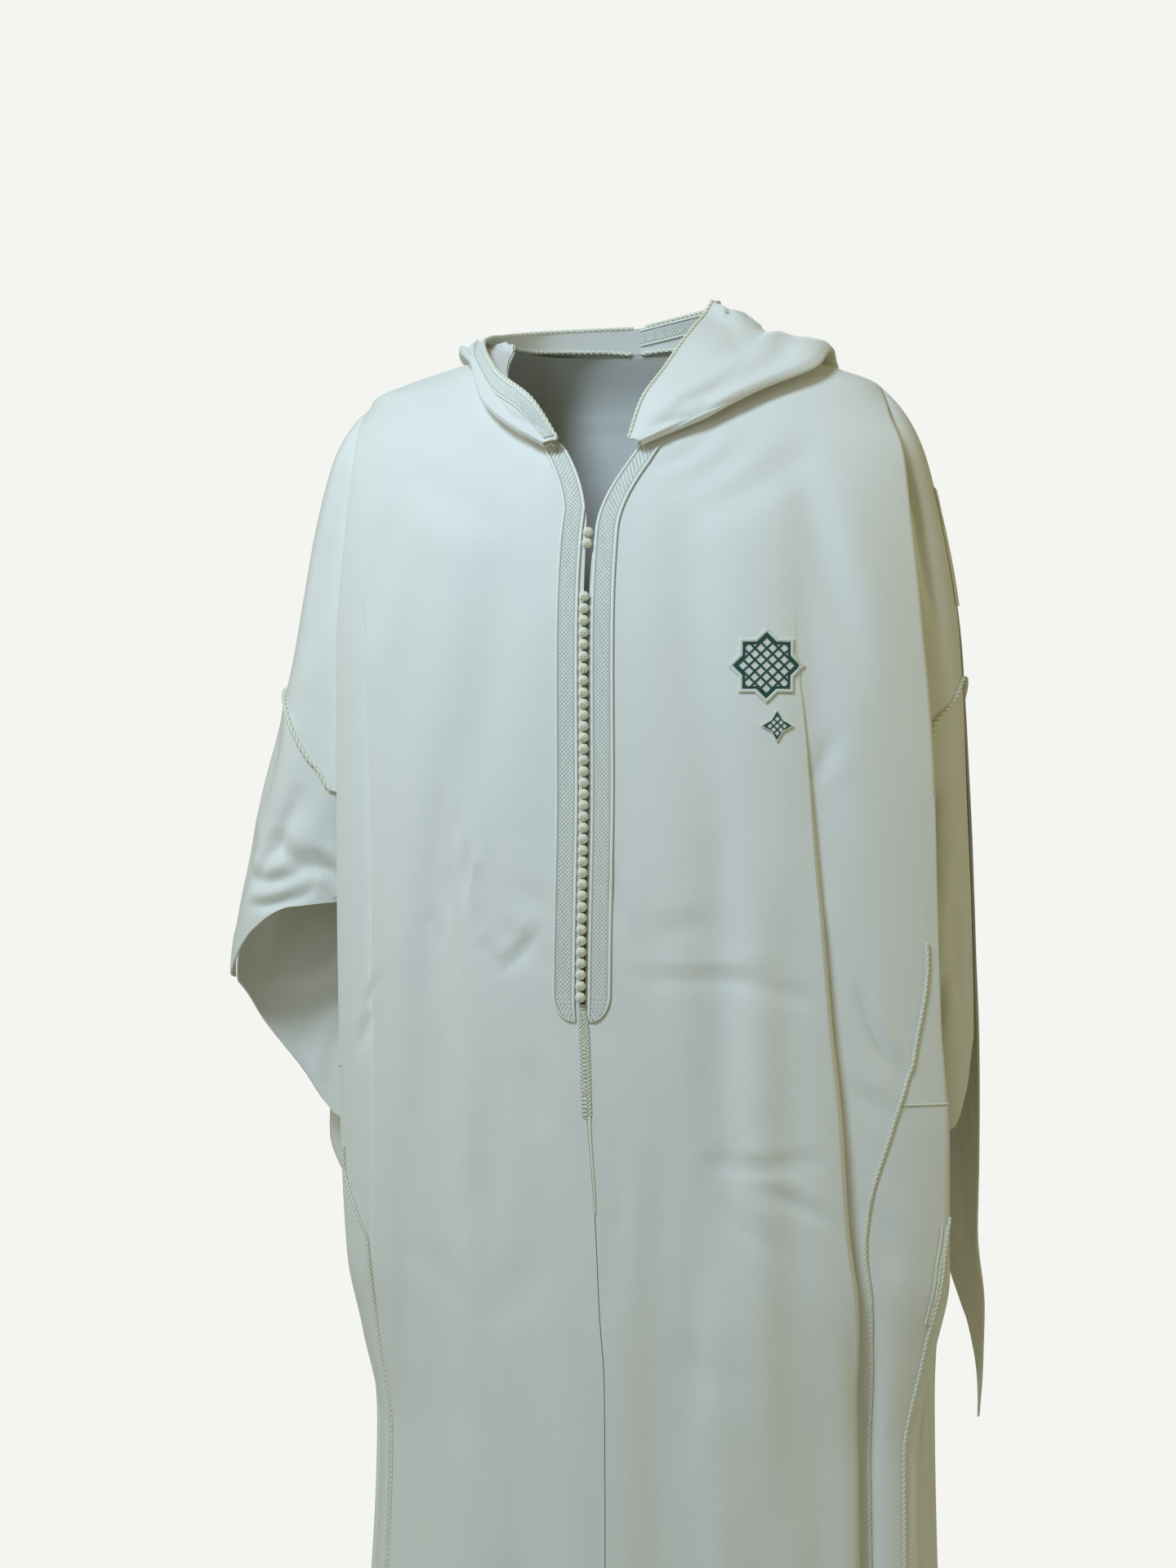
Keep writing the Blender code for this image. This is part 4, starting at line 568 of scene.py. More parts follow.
class Socket:
    """A shader value that takes part in Python sums: each operator adds its Math node."""

    def __init__(self, tree, socket):
        self.tree = tree
        self.socket = socket

    def math(self, operation, *others):
        node = self.tree.nodes.new("ShaderNodeMath")
        node.operation = operation
        for slot, value in zip(node.inputs, (self,) + others):
            if isinstance(value, Socket):
                self.tree.links.new(value.socket, slot)
            else:
                slot.default_value = value
        return Socket(self.tree, node.outputs[0])

    def __add__(self, other):
        return self.math("ADD", other)

    def __mul__(self, other):
        return self.math("MULTIPLY", other)

    def __sub__(self, other):
        return self.math("SUBTRACT", other)

    def __rsub__(self, other):
        return (self * -1).math("ADD", other)

    __radd__ = __add__
    __rmul__ = __mul__


class Finish:
    """One material: its nodes, and the method that adds any other node."""

    def __init__(self, name, colour, roughness):
        self.material = bpy.data.materials.new(name)
        self.material.use_nodes = True
        self.tree = self.material.node_tree
        self.shader = self.tree.nodes["Principled BSDF"]
        self.shader.inputs["Base Color"].default_value = (*colour, 1)
        self.shader.inputs["Roughness"].default_value = roughness
        self.material.diffuse_color = (*colour, 1)

    def node(self, kind, settings=None, output=0, **values):
        made = self.tree.nodes.new(kind)
        for name, value in (settings or {}).items():
            setattr(made, name, value)
        for name, value in values.items():
            slot = made.inputs[name.replace("_", " ")]
            if isinstance(value, Socket):
                self.tree.links.new(value.socket, slot)
            else:
                slot.default_value = value
        return Socket(self.tree, made.outputs[output])

    def mixed(self, mask, first, second):
        """Colour that goes from the first to the second where the mask goes from 0 to 1."""
        made = self.tree.nodes.new("ShaderNodeMix")
        made.data_type = "RGBA"
        for slot, value in ((made.inputs[0], mask), (made.inputs[6], first), (made.inputs[7], second)):
            if isinstance(value, Socket):
                self.tree.links.new(value.socket, slot)
            else:
                slot.default_value = value if isinstance(value, float) else (*value, 1)
        return Socket(self.tree, made.outputs[2])

    def feed(self, name, value):
        self.tree.links.new(value.socket, self.shader.inputs[name])

    def bump(self, height, distance, strength):
        """Bump from a height from 0 to 1, with the distance in millimetres."""
        normal = self.node("ShaderNodeBump", Height=height, Distance=distance * MM, Strength=strength)
        self.feed("Normal", normal)


CLOTH_COLOUR = (0.86, 0.84, 0.76)
CLOTH_WORN = (0.80, 0.79, 0.70)
THREAD_RUN = 1400         # threads and slubs across one metre
SLUB_LENGTH = 9           # a slub is this many times longer than it is thick


def cloth_finish():
    """Ivory crepe: a fine grain of threads, long slubs both ways, and a soft uneven tone."""
    finish = Finish("ivory_cloth", CLOTH_COLOUR, 0.62)
    finish.shader.inputs["Sheen Weight"].default_value = 0.25
    finish.shader.inputs["Sheen Roughness"].default_value = 0.45
    finish.shader.inputs["Sheen Tint"].default_value = (0.86, 0.93, 1.0, 1)
    finish.shader.inputs["Specular IOR Level"].default_value = 0.35
    place = finish.node("ShaderNodeTexCoord", output=3)
    weft = finish.node("ShaderNodeMapping", Vector=place, Scale=(1, 1, SLUB_LENGTH))
    warp = finish.node("ShaderNodeMapping", Vector=place, Scale=(SLUB_LENGTH, SLUB_LENGTH, 1))
    across = finish.node("ShaderNodeTexNoise", Vector=weft, Scale=THREAD_RUN / SLUB_LENGTH, Detail=2.0)
    along = finish.node("ShaderNodeTexNoise", Vector=warp, Scale=THREAD_RUN / SLUB_LENGTH, Detail=2.0)
    grain = finish.node("ShaderNodeTexNoise", Vector=place, Scale=900.0, Detail=2.0)
    soft = finish.node("ShaderNodeTexNoise", Vector=place, Scale=14.0, Detail=4.0, Roughness=0.6)
    tone = soft * 0.7 + along * 0.2 + across * 0.1
    finish.feed("Base Color", finish.mixed(tone, CLOTH_COLOUR, CLOTH_WORN))
    finish.feed("Roughness", soft * 0.16 + 0.54)
    finish.bump(across * 0.4 + along * 0.35 + grain * 0.25, 0.35, 0.35)
    return finish.material


ivory_cloth = cloth_finish()

FOLD_COLUMNS = steps(0, (0.58, 26), (0.66, 12))
FRONT_SIDE = steps(0, (1, 22))            # columns between the pleat and the gore's seam
EDGE_OF_FRONT = steps(0.965, (1.0, 4))
UPPER_ROWS = steps(-40, (-18, 7), (SHOULDER_TIP, 6), (30, 12), (UNDERARM, 52))
LOWER_ROWS = steps(UNDERARM, (HEM_DROP, 165))
ARM_STEPS = steps(1.0, (TUCK_SHARE, 10), (1.99999, 34))


def across_step(edge, inner):
    """Length of the step along the columns that leaves the seam's gap across a slanting edge."""
    column = inner - edge
    column = column / np.linalg.norm(column, axis=-1, keepdims=True)
    run = np.diff(edge, axis=0)
    run = run / np.linalg.norm(run, axis=-1, keepdims=True)
    before = np.abs(np.sum(column[1:] * run, -1))
    after = np.abs(np.sum(column[:-1] * run, -1))
    slant = np.maximum(np.concatenate([[0], before]), np.concatenate([after, [0]]))
    return (SEAM / np.sqrt(1 - np.minimum(slant, 0.98) ** 2))[..., None]


def step_in(edge, inner, amount=SEAM):
    """Step of the given length from an edge towards the points inside it."""
    step = inner - edge
    return amount * step / np.linalg.norm(step, axis=-1, keepdims=True)


def arm_rows(side, places):
    """Rows over the arm, from the tip of the shoulder to the armhole seam at each place."""
    drops = UPPER_ROWS[UPPER_ROWS >= SHOULDER_TIP - 0.01]
    share = (drops - SHOULDER_TIP) / (UNDERARM - SHOULDER_TIP)
    return SHOULDER_TIP + (armhole_drop(side, places) - SHOULDER_TIP) * share[:, None]


for side in SIDES:
    pleated = FOLD_COLUMNS[-1] + (0.965 - FOLD_COLUMNS[-1]) * FRONT_SIDE[1:]
    upper_places = np.concatenate([FOLD_COLUMNS, pleated, EDGE_OF_FRONT[1:]])
    seam = seam_place(GORE_FRONT[side], LOWER_ROWS)[:, None]
    lower_places = np.concatenate([np.repeat(FOLD_COLUMNS[None, :], len(LOWER_ROWS), 0),
                                   FOLD_COLUMNS[-1] + (seam - FOLD_COLUMNS[-1]) * FRONT_SIDE[1:]], 1)
    arm_places = ARM_STEPS[None, :]
    uppers = wall_at(side, upper_places[None, :], UPPER_ROWS[:, None], False)
    arms = wall_at(side, arm_places, arm_rows(side, arm_places), False)
    lowers = wall_at(side, lower_places, LOWER_ROWS[:, None], True)
    tip = int(np.argmin(np.abs(UPPER_ROWS - SHOULDER_TIP)))
    for upper, arm, lower in zip(uppers, arms, lowers):
        upper[:tip + 1, -1] += step_in(upper[:tip + 1, -1], upper[:tip + 1, -2])
        arm[1:, -1] += step_in(arm[1:, -1], arm[1:, -2])
        arm[-1] += step_in(arm[-1], arm[-2], across_step(arm[-1], arm[-2]))
        arm[0] = upper[tip, -1]
        arm[:, 0] = upper[tip:, -1]
        lower[0] = upper[-1, :lower.shape[1]]
        lower[1:, -1] += step_in(lower[1:, -1], lower[1:, -2])
    front = cloth_piece("front_%s_cloth" % side, [uppers, arms, lowers], ivory_cloth)
    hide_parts("front_" + side)

# Back. One wide panel of the same crepe covers both shoulder blades and the tops of both sleeves,
# and is sewn to the fronts along the shoulders.
GORE_BACK = ((310, 3.035), (420, 3.035), (560, 3.2), (700, 3.3), (1380, 3.35))
BACK_EDGE = steps(3.0, (3.035, 4))
BACK_WIDE = steps(0, (1, 44))
BACK_ROWS = np.concatenate([[-44], UPPER_ROWS])

pieces_of_back = []
for side in SIDES:
    upper_places = np.concatenate([BACK_EDGE[:-1], 3.035 + 0.965 * BACK_WIDE])
    seam = seam_place(GORE_BACK, LOWER_ROWS)[:, None]
    arm_places = 4 - ARM_STEPS[None, :]
    uppers = wall_at(side, upper_places[None, :], BACK_ROWS[:, None], False)
    arms = wall_at(side, arm_places, arm_rows(side, arm_places), False)
    lowers = wall_at(side, seam + (4 - seam) * BACK_WIDE, LOWER_ROWS[:, None], True)
    tip = int(np.argmin(np.abs(BACK_ROWS - SHOULDER_TIP)))
    for upper, arm, lower in zip(uppers, arms, lowers):
        upper[:tip + 1, 0] += step_in(upper[:tip + 1, 0], upper[:tip + 1, 1])
        arm[1:, -1] += step_in(arm[1:, -1], arm[1:, -2])
        arm[-1] += step_in(arm[-1], arm[-2], across_step(arm[-1], arm[-2]))
        arm[0] = upper[tip, 0]
        arm[:, 0] = upper[tip:, 0]
        lower[0] = upper[-1, -lower.shape[1]:]
        lower[1:, 0] += step_in(lower[1:, 0], lower[1:, 1])
        upper[:, -1, 0] = 0
        lower[:, -1, 0] = 0
    order = slice(None) if side == "right" else slice(None, None, -1)
    pieces_of_back.append(tuple(grid[:, order] for grid in uppers))
    pieces_of_back.append(tuple(grid[:, ::-1][:, order] for grid in arms))
    pieces_of_back.append(tuple(grid[:, order] for grid in lowers))
back = cloth_piece("back_cloth", pieces_of_back, ivory_cloth)
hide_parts("back")

# Gores. Four long wedges of crepe widen the skirt from under the arms to the hem, two on each
# side, pieced across near the hip and sewn to the panels with a corded seam.
GORE_AREA = {"right_front": 0.125, "left_front": 0.16, "right_back": 0.2, "left_back": 0.19}
TOWARDS_FOLD = steps(0, (1, 12))
ROUND_SIDE = steps(1.0, (2.0, 30))

for side in SIDES:
    for face in ("front", "back"):
        seams = GORE_FRONT[side] if face == "front" else GORE_BACK
        seam = seam_place(seams, LOWER_ROWS)[:, None]
        if face == "back":
            seam = 4 - seam
        places = np.concatenate([seam + (1 - seam) * TOWARDS_FOLD[:-1],
                                 np.repeat(ROUND_SIDE[None, :], len(LOWER_ROWS), 0)], 1)
        if face == "back":
            places = (4 - places)[:, ::-1]
        grids = wall_at(side, places, LOWER_ROWS[:, None], True)
        for grid in grids:
            grid[0] += step_in(grid[0], grid[1])
            grid[:, 0] += step_in(grid[:, 0], grid[:, 1])
            grid[:, -1] += step_in(grid[:, -1], grid[:, -2])
        gore = cloth_piece("gore_%s_%s_cloth" % (side, face), [grids], ivory_cloth)
        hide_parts("gore_%s_%s" % (side, face))
        GORE_AREA[side + "_" + face]

# Sleeves. Each is one wide piece of crepe folded under the arm, sewn to the panels round the
# armhole and left open along the top of the arm, with a narrow turned hem.
# The sleeves, by the angle round the arm: 0 at its top, 90 in front, 180 inside and 270 behind.
SLEEVE_HEM = {
    "right": ((0, 456), (25, 450), (60, 415), (90, 396), (135, 392), (180, 440), (225, 560),
              (260, 571), (290, 558), (325, 510), (345, 470), (360, 458)),
    "left": ((0, 480), (14, 496), (30, 528), (60, 556), (90, 560), (135, 564), (180, 590),
             (225, 640), (265, 700), (300, 744), (330, 774), (345, 785), (360, 778)),
}
INNER_TOP = 309           # drop of the sleeve's seam under the arm
SLEEVE_DOWN = steps(0, (0.93, 56), (1.0, 10))
SLEEVE_INNER = 40         # columns on the inner side of the arm


def sleeve_at(side, down):
    """Point of the sleeve's outer face and the direction in which its wall goes in, from the front
    edge of its slit round the arm to the back edge, and from the armhole, 0, to the hem, 1."""
    on_panels = ARM_STEPS[:8:-1]
    places = np.concatenate([on_panels, 4 - on_panels[::-1]])
    top = armhole_drop(side, places)
    angle = arm_angle(side, places, top)
    count = len(on_panels)
    share = np.linspace(0, 1, SLEEVE_INNER + 2)[1:-1]
    inner_angle = angle[count - 1] + (angle[count] - angle[count - 1]) * share
    inner_top = INNER_TOP + (top[count] - INNER_TOP) * np.abs(2 * share - 1) ** 2
    angle = np.concatenate([angle[:count], inner_angle, angle[count:]])
    top = np.concatenate([top[:count], inner_top, top[count:]])
    first_top = read(SLIT, SLIT_COLUMNS, side + "_front", top)
    last_top = read(SLIT, SLIT_COLUMNS, side + "_back", top)
    around = (angle - first_top) / (last_top - first_top)
    drop = top + (seam_place(SLEEVE_HEM[side], angle) - top) * down
    first = read(SLIT, SLIT_COLUMNS, side + "_front", drop)
    last = read(SLIT, SLIT_COLUMNS, side + "_back", drop)
    angle = first + (last - first) * around

    def arm(at_angle, at_drop):
        x, y = arm_points(side, at_angle, at_drop)
        return np.stack([direction(side) * x, y, -at_drop], -1)

    round_arm = arm(angle + 1, drop) - arm(angle - 1, drop)
    inward = np.cross(round_arm, arm(angle, drop + 1.5) - arm(angle, drop - 1.5))
    inward *= -direction(side) / np.linalg.norm(inward, axis=-1, keepdims=True)
    return arm(angle, drop) + arm_crease_depth(side, angle, drop)[..., None] * inward, inward


for side in SIDES:
    outer, inward = sleeve_at(side, SLEEVE_DOWN[:, None])
    grids = (outer, outer + WALL * inward)
    for grid in grids:
        grid[0] += step_in(grid[0], grid[1], across_step(grid[0], grid[1]))
    sleeve = cloth_piece("sleeve_%s_cloth" % side, [grids], ivory_cloth)
    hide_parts("sleeve_" + side)

# Hood. Two halves of crepe are sewn to the neckline and lie folded back on the shoulders, open
# in front, with a long fold down the middle of the back.
# The hood, one row a section from its front corner, 0, to its middle at the back, 1: the neck
# seam, the lowest fold and the rim, and how far the hood bulges between the last two.
HOOD_COLUMNS = ("place", "seam", "fold", "rim", "bulge")
HOOD = {
    "right": (
        (0.00, (30, -87, -48), (39, -92, -50), (28, -98, -43), 1),
        (0.14, (57, -79, -27), (67, -86, -33), (49, -92, -12), 3),
        (0.28, (78, -53, 4), (92, -70, -12), (86, -60, 18), 2),
        (0.42, (86, -16, 37), (113, -30, 24), (104, -18, 47), 3),
        (0.56, (82, 18, 49), (132, 34, 26), (101, 31, 58), 4),
        (0.78, (50, 56, 50), (112, 122, -120), (74, 65, 66), 16),
        (1.00, (0.15, 73, 50), (0.15, 130, -276), (0.15, 84, 70), 20),
    ),
    "left": (
        (0.00, (31, -87, -48), (36, -96, -49), (26, -98, -44), 1),
        (0.14, (58, -79, -27), (74, -92, -30), (34, -88, -14), 5),
        (0.28, (78, -53, 4), (120, -66, -8), (48, -66, 14), 10),
        (0.42, (86, -16, 37), (161, -28, 10), (61, -36, 44), 12),
        (0.56, (82, 18, 49), (158, 34, 10), (75, 16, 76), 10),
        (0.78, (50, 56, 50), (120, 124, -130), (58, 62, 78), 16),
        (1.00, (0.15, 73, 50), (0.15, 130, -276), (0.15, 84, 70), 20),
    ),
}
HOOD_ACROSS_KNOTS = (0, 0.18, 0.34, 0.42, 0.5, 0.72, 1)
HOOD_GAPS = (0.7, 7.8, 8.6, 12.5, 17, 17.5, 14)  # least height over the robe at each of those
HOOD_FULL = 60            # where the hood is narrower than this, those heights shrink

def normals_of(points):
    """Unit normals of a grid of points: down its rows crossed with along its columns."""
    down, along = np.gradient(points, axis=0), np.gradient(points, axis=1)
    normal = np.cross(down, along)
    return normal / np.linalg.norm(normal, axis=-1, keepdims=True)


def clear_of_robe(side, points, gap, resting):
    """Points of one half of the hood, with x outward, moved until they lie at least the gap off
    the robe, and at just the gap where they rest on it."""
    drops = np.linspace(-44, 300, 60)[:, None]
    front = robe(side, np.linspace(0, 1, 40)[None, :], drops, False)
    back = robe(side, np.linspace(3, 4, 40)[None, :], drops, False)
    faces = np.concatenate([normals_of(front).reshape(-1, 3), normals_of(back).reshape(-1, 3)])
    samples = np.concatenate([front.reshape(-1, 3), back.reshape(-1, 3)])
    mirror = np.array([direction(side), 1, 1])
    samples, faces = samples * mirror, faces * mirror
    centre = np.array([0, SHOULDER_Y, -120])
    outward = np.sign(np.sum(faces * (samples - centre), -1, keepdims=True))
    faces = faces * outward
    shape = points.shape
    points = points.reshape(-1, 3).copy()
    gap, resting = gap.ravel(), resting.ravel()
    for _ in range(8):
        apart = np.linalg.norm(points[:, None] - samples[None], axis=-1)
        nearest = np.argmin(apart, axis=1)
        height = np.sum((points - samples[nearest]) * faces[nearest], -1)
        near = apart[np.arange(len(points)), nearest] < 120
        step = np.where(resting, gap - height, np.maximum(gap - height, 0))
        points += np.where(near, step, 0)[:, None] * faces[nearest]
    return points.reshape(shape)


def hood_points(side, place, across):
    """The hood from its front corner, place 0, to its middle, 1, and from the neck seam, 0, under
    its lowest fold, about 0.4, to the rim, 1."""
    place, across = np.broadcast_arrays(place, across)
    rows = HOOD[side]
    firsts = [row[0] for row in rows]

    def column(name, axis):
        values = [row[HOOD_COLUMNS.index(name)][axis] for row in rows]
        return smooth(firsts, values, place)

    seam = np.stack([column("seam", axis) for axis in range(3)], -1)
    fold = np.stack([column("fold", axis) for axis in range(3)], -1)
    rim = np.stack([column("rim", axis) for axis in range(3)], -1)
    bulge = smooth(firsts, [row[-1] for row in rows], place)[..., None]
    outward = np.stack([fold[..., 0] * 0.6, fold[..., 1], 0 * fold[..., 2]], -1)
    outward /= np.linalg.norm(outward, axis=-1, keepdims=True)
    under = fold + 0.07 * (seam - fold)
    over = fold + 0.06 * (rim - fold)
    middle = fold + 0.55 * (rim - fold) + outward * bulge
    inner = seam + 0.45 * (under - seam)
    lines = (seam, inner, under, fold, over, middle, rim)
    points = [knots_at(HOOD_ACROSS_KNOTS, [line[..., axis] for line in lines], across) for axis in range(3)]
    size = np.linalg.norm(rim - fold, axis=-1) / HOOD_FULL
    gap = np.interp(across, HOOD_ACROSS_KNOTS, HOOD_GAPS)
    gap = HOOD_GAPS[0] + (gap - HOOD_GAPS[0]) * np.clip(size, 0.85, 1)
    points = clear_of_robe(side, np.stack(points, -1), gap, across < 0.4)
    return points * np.array([direction(side), 1, 1])

HOOD_ROWS = steps(0, (0.42, 26), (1, 34))
HOOD_ALONG = steps(0, (1, 70))
# Creases of the hood, by place and by the share of the way from the neck seam to the rim.
HOOD_CREASES = (
    ("front", -150, 520, -142, 1100, 4, 13.0, 2.6), ("front", -108, 560, -96, 1250, -5, 15.0, 2.8),
    ("front", -58, 640, -50, 1400, 4, 12.0, 2.2), ("front", -22, 700, -16, 1420, -3, 10.0, 1.6),
    ("front", 46, 560, 62, 1300, 4, 14.0, 2.4), ("front", 96, 300, 112, 820, -4, 16.0, 2.4),
    ("front", 84, 620, 104, 1400, -6, 12.0, 2.8), ("front", 142, 380, 150, 900, 5, 12.0, 2.2),
    ("front", 166, 620, 176, 1350, 4, 12.0, 3.0), ("front", 202, 640, 214, 1350, -4, 11.0, 3.0),
    ("front", -134, 60, -150, 420, -5, 16.0, 2.2), ("front", -70, 90, -92, 330, 6, 20.0, 1.8),
    ("front", 70, 60, 96, 330, -6, 20.0, 1.8), ("front", 150, 40, 172, 400, 5, 16.0, 2.4),
    ("left", 0.30, 0.62, 0.52, 0.70, 0.02, 0.045, 1.6), ("left", 0.36, 0.86, 0.58, 0.74, 0.02, 0.035, 1.8),
    ("left", 0.16, 0.70, 0.40, 0.56, 0.0, 0.05, 1.5), ("left", 0.50, 0.60, 0.74, 0.66, 0.03, 0.06, 2.2),
    ("left", 0.62, 0.86, 0.86, 0.70, 0.03, 0.06, 2.4), ("left", 0.70, 0.56, 0.95, 0.58, 0.02, 0.05, 2.2),
    ("right", 0.40, 0.62, 0.58, 0.72, 0.02, 0.045, 1.2), ("right", 0.60, 0.60, 0.78, 0.70, 0.03, 0.06, 2.2),
    ("right", 0.64, 0.84, 0.88, 0.72, 0.03, 0.06, 2.2), ("right", 0.72, 0.55, 0.95, 0.58, 0.02, 0.05, 2.0),
)

hood_walls = {}
for side in SIDES:
    points = hood_points(side, HOOD_ALONG[None, :], HOOD_ROWS[:, None])
    inward = normals_of(points) * direction(side)
    place, share = np.broadcast_arrays(HOOD_ALONG[None, :], HOOD_ROWS[:, None])
    depth = crease_depth(HOOD_CREASES, side, place, share)
    fade = np.clip((1 - place) / 0.05, 0, 1)
    points = points + (depth * fade)[..., None] * inward
    inward[:, -1, 0] = 0
    points[:, 0] += step_in(points[:, 0], points[:, 1])
    hood_walls[side] = (points, inward)
    hood = cloth_piece("hood_%s_cloth" % side, [(points, points + 0.9 * inward)], ivory_cloth)
    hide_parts("hood_" + side)

# Bands. A woven band of silk thread runs down each side of the opening: a fine lattice between
# twisted cords. It is sewn flat on the cloth, and both ends meet in a rounded point.
BAND_WIDTH = 17.5         # woven band with its cords
BAND_TOP = 50
BAND_END = 474            # the rounded lower end of the placket
BAND_ROUND = 20
KNOT_RADIUS = 3.9
KNOT_PLACE = -1           # the knots stand this far from the middle, to the right
BAND_SEAT = 0.3           # the underside of a band lies this far off the cloth
BAND_BASE = 0.9           # thickness under the threads
CORD_SHARE = 0.075        # half the width of each edge cord, as a share of the band
CORD_HEIGHT = 1.3
CORD_TURN = 1.9           # length of one turn of its twist
LATTICE_HEIGHT = 0.75
LATTICE_ACROSS = 2.9
LATTICE_ALONG = 3.2
# Thread colours: the strand tops in the thread's own colour, and a painted shade for the hollows between
# strands.
THREAD_LIGHT = (1.0, 0.98, 0.88)
THREAD_PAINTED_SHADE = (0.34, 0.36, 0.28)

def place_of(side, x, drop):
    """Place on the front whose distance from the middle is x, found by halving."""
    low, high = np.zeros(np.broadcast(x, drop).shape), np.ones(np.broadcast(x, drop).shape)
    drop = np.broadcast_to(drop, low.shape)
    for _ in range(26):
        half = (low + high) / 2
        beyond = front_points(side, half, drop)[0] > x
        high, low = np.where(beyond, half, high), np.where(beyond, low, half)
    return (low + high) / 2


def on_cloth(x, drop):
    """Point of the creased front at x, negative on the right side, and its outward direction."""
    x, drop = np.broadcast_arrays(np.asarray(x, float), np.asarray(drop, float))
    points, facing = [], []
    for side in SIDES:
        point, inward = cloth_at(side, place_of(side, direction(side) * x, drop), drop, True)
        points.append(point)
        facing.append(-inward)
    choose = (x < 0)[..., None]
    return np.where(choose, points[0], points[1]), np.where(choose, facing[0], facing[1])


def lattice(across, along):
    """Height from 0 to 1 of two sets of slanting strands that pass over and under each other."""
    first = np.abs(np.sin(math.pi * (across / LATTICE_ACROSS + along / LATTICE_ALONG)))
    second = np.abs(np.sin(math.pi * (across / LATTICE_ACROSS - along / LATTICE_ALONG)))
    over = 0.5 + 0.5 * np.cos(2 * math.pi * along / LATTICE_ALONG)
    ridges = (np.clip(1 - first / 0.72, 0, 1), np.clip(1 - second / 0.72, 0, 1))
    return np.maximum(ridges[0] ** 0.6 * (0.7 + 0.3 * over), ridges[1] ** 0.6 * (1 - 0.3 * over))


def ribbed_cord(offset, along, lean):
    """Height from 0 to 1 of a round cord across its offset from -1 to 1, ribbed by its twist."""
    rib = 0.5 + 0.5 * np.cos(2 * math.pi * (along / CORD_TURN + lean * offset * 0.45))
    return np.sqrt(np.clip(1 - offset ** 2, 0, 1)) * (0.74 + 0.26 * rib)


def band_height(share, width, along):
    """Height over the base, and how far on top of its thread each point lies, which sets the painted shade in
    the hollows.
    """
    edge = np.minimum(share, 1 - share)
    lean = np.where(share < 0.5, 1, -1)
    cord = ribbed_cord(np.clip((edge - CORD_SHARE) / CORD_SHARE, -1, 1), along, lean)
    inner = np.clip((edge - 2.3 * CORD_SHARE) / 0.03, 0, 1)
    woven = lattice((share - 0.5) * width, along) * inner
    on_cord = edge < 2 * CORD_SHARE
    return np.where(on_cord, CORD_HEIGHT * cord, LATTICE_HEIGHT * woven), np.where(on_cord, cord, woven)


def thread_finish(name, light, shade, roughness):
    """Silk thread: its own pale colour on the tops of the strands, and painted shade in the hollows between
    them.
    """
    finish = Finish(name, light, roughness)
    finish.shader.inputs["Sheen Weight"].default_value = 0.15
    finish.shader.inputs["Specular IOR Level"].default_value = 0.5
    top = finish.node("ShaderNodeAttribute", {"attribute_name": "thread"}, output=2)
    place = finish.node("ShaderNodeTexCoord", output=3)
    fibre = finish.node("ShaderNodeTexNoise", Vector=place, Scale=2600.0, Detail=2.0)
    bright = top.math("POWER", 0.6)
    # Painted shade: where the thread attribute is low, in the hollows between strands, the colour turns to
    # the shade colour.
    finish.feed("Base Color", finish.mixed(bright * 0.95 + fibre * 0.1, shade, light))
    finish.bump(fibre, 0.2, 0.3)
    return finish.material


woven_band = thread_finish("woven_band", THREAD_LIGHT, THREAD_PAINTED_SHADE, 0.5)

band_rows = np.concatenate([np.linspace(BAND_TOP, BAND_END - BAND_ROUND, 620),
                            BAND_END - BAND_ROUND * (1 - np.sin(np.linspace(0, math.pi / 2, 28)[1:-1]))])
band_shares = np.linspace(0, 1, 33)
for side in SIDES:
    sign = direction(side)
    drops = band_rows[:, None]
    gap = np.maximum(read(EDGE, EDGE_COLUMNS, "half_gap", drops), KNOT_RADIUS + 0.7 + sign * KNOT_PLACE)
    bend = np.clip((drops - (BAND_END - BAND_ROUND)) / BAND_ROUND, 0, 1)
    width = BAND_WIDTH * np.sqrt(1 - bend ** 2)
    x = sign * (gap + width * band_shares) + read(EDGE, EDGE_COLUMNS, "middle", drops)
    base, facing = on_cloth(x, drops)
    height, thread = band_height(band_shares[None, :], width, drops + 0 * x)
    ends = np.clip(np.minimum(drops - BAND_TOP, BAND_END - drops) / 1.2, 0, 1)
    raised = BAND_SEAT + (BAND_BASE + height * ends)[..., None]
    faces = (base + facing * raised, base + facing * BAND_SEAT)
    band = cloth_piece("band_%s_weave" % side, [faces], woven_band, thread=thread)
    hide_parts("band_" + side)

# Hood bands. The same band edges the rim of the hood, on the outer face of its right half and on
# the inner face of its left half, which rolls outward.
HOOD_BAND_WIDTH = 14
HOOD_BAND_SHARES = np.linspace(0, 1, 21)
HOOD_BAND_STEPS = 400

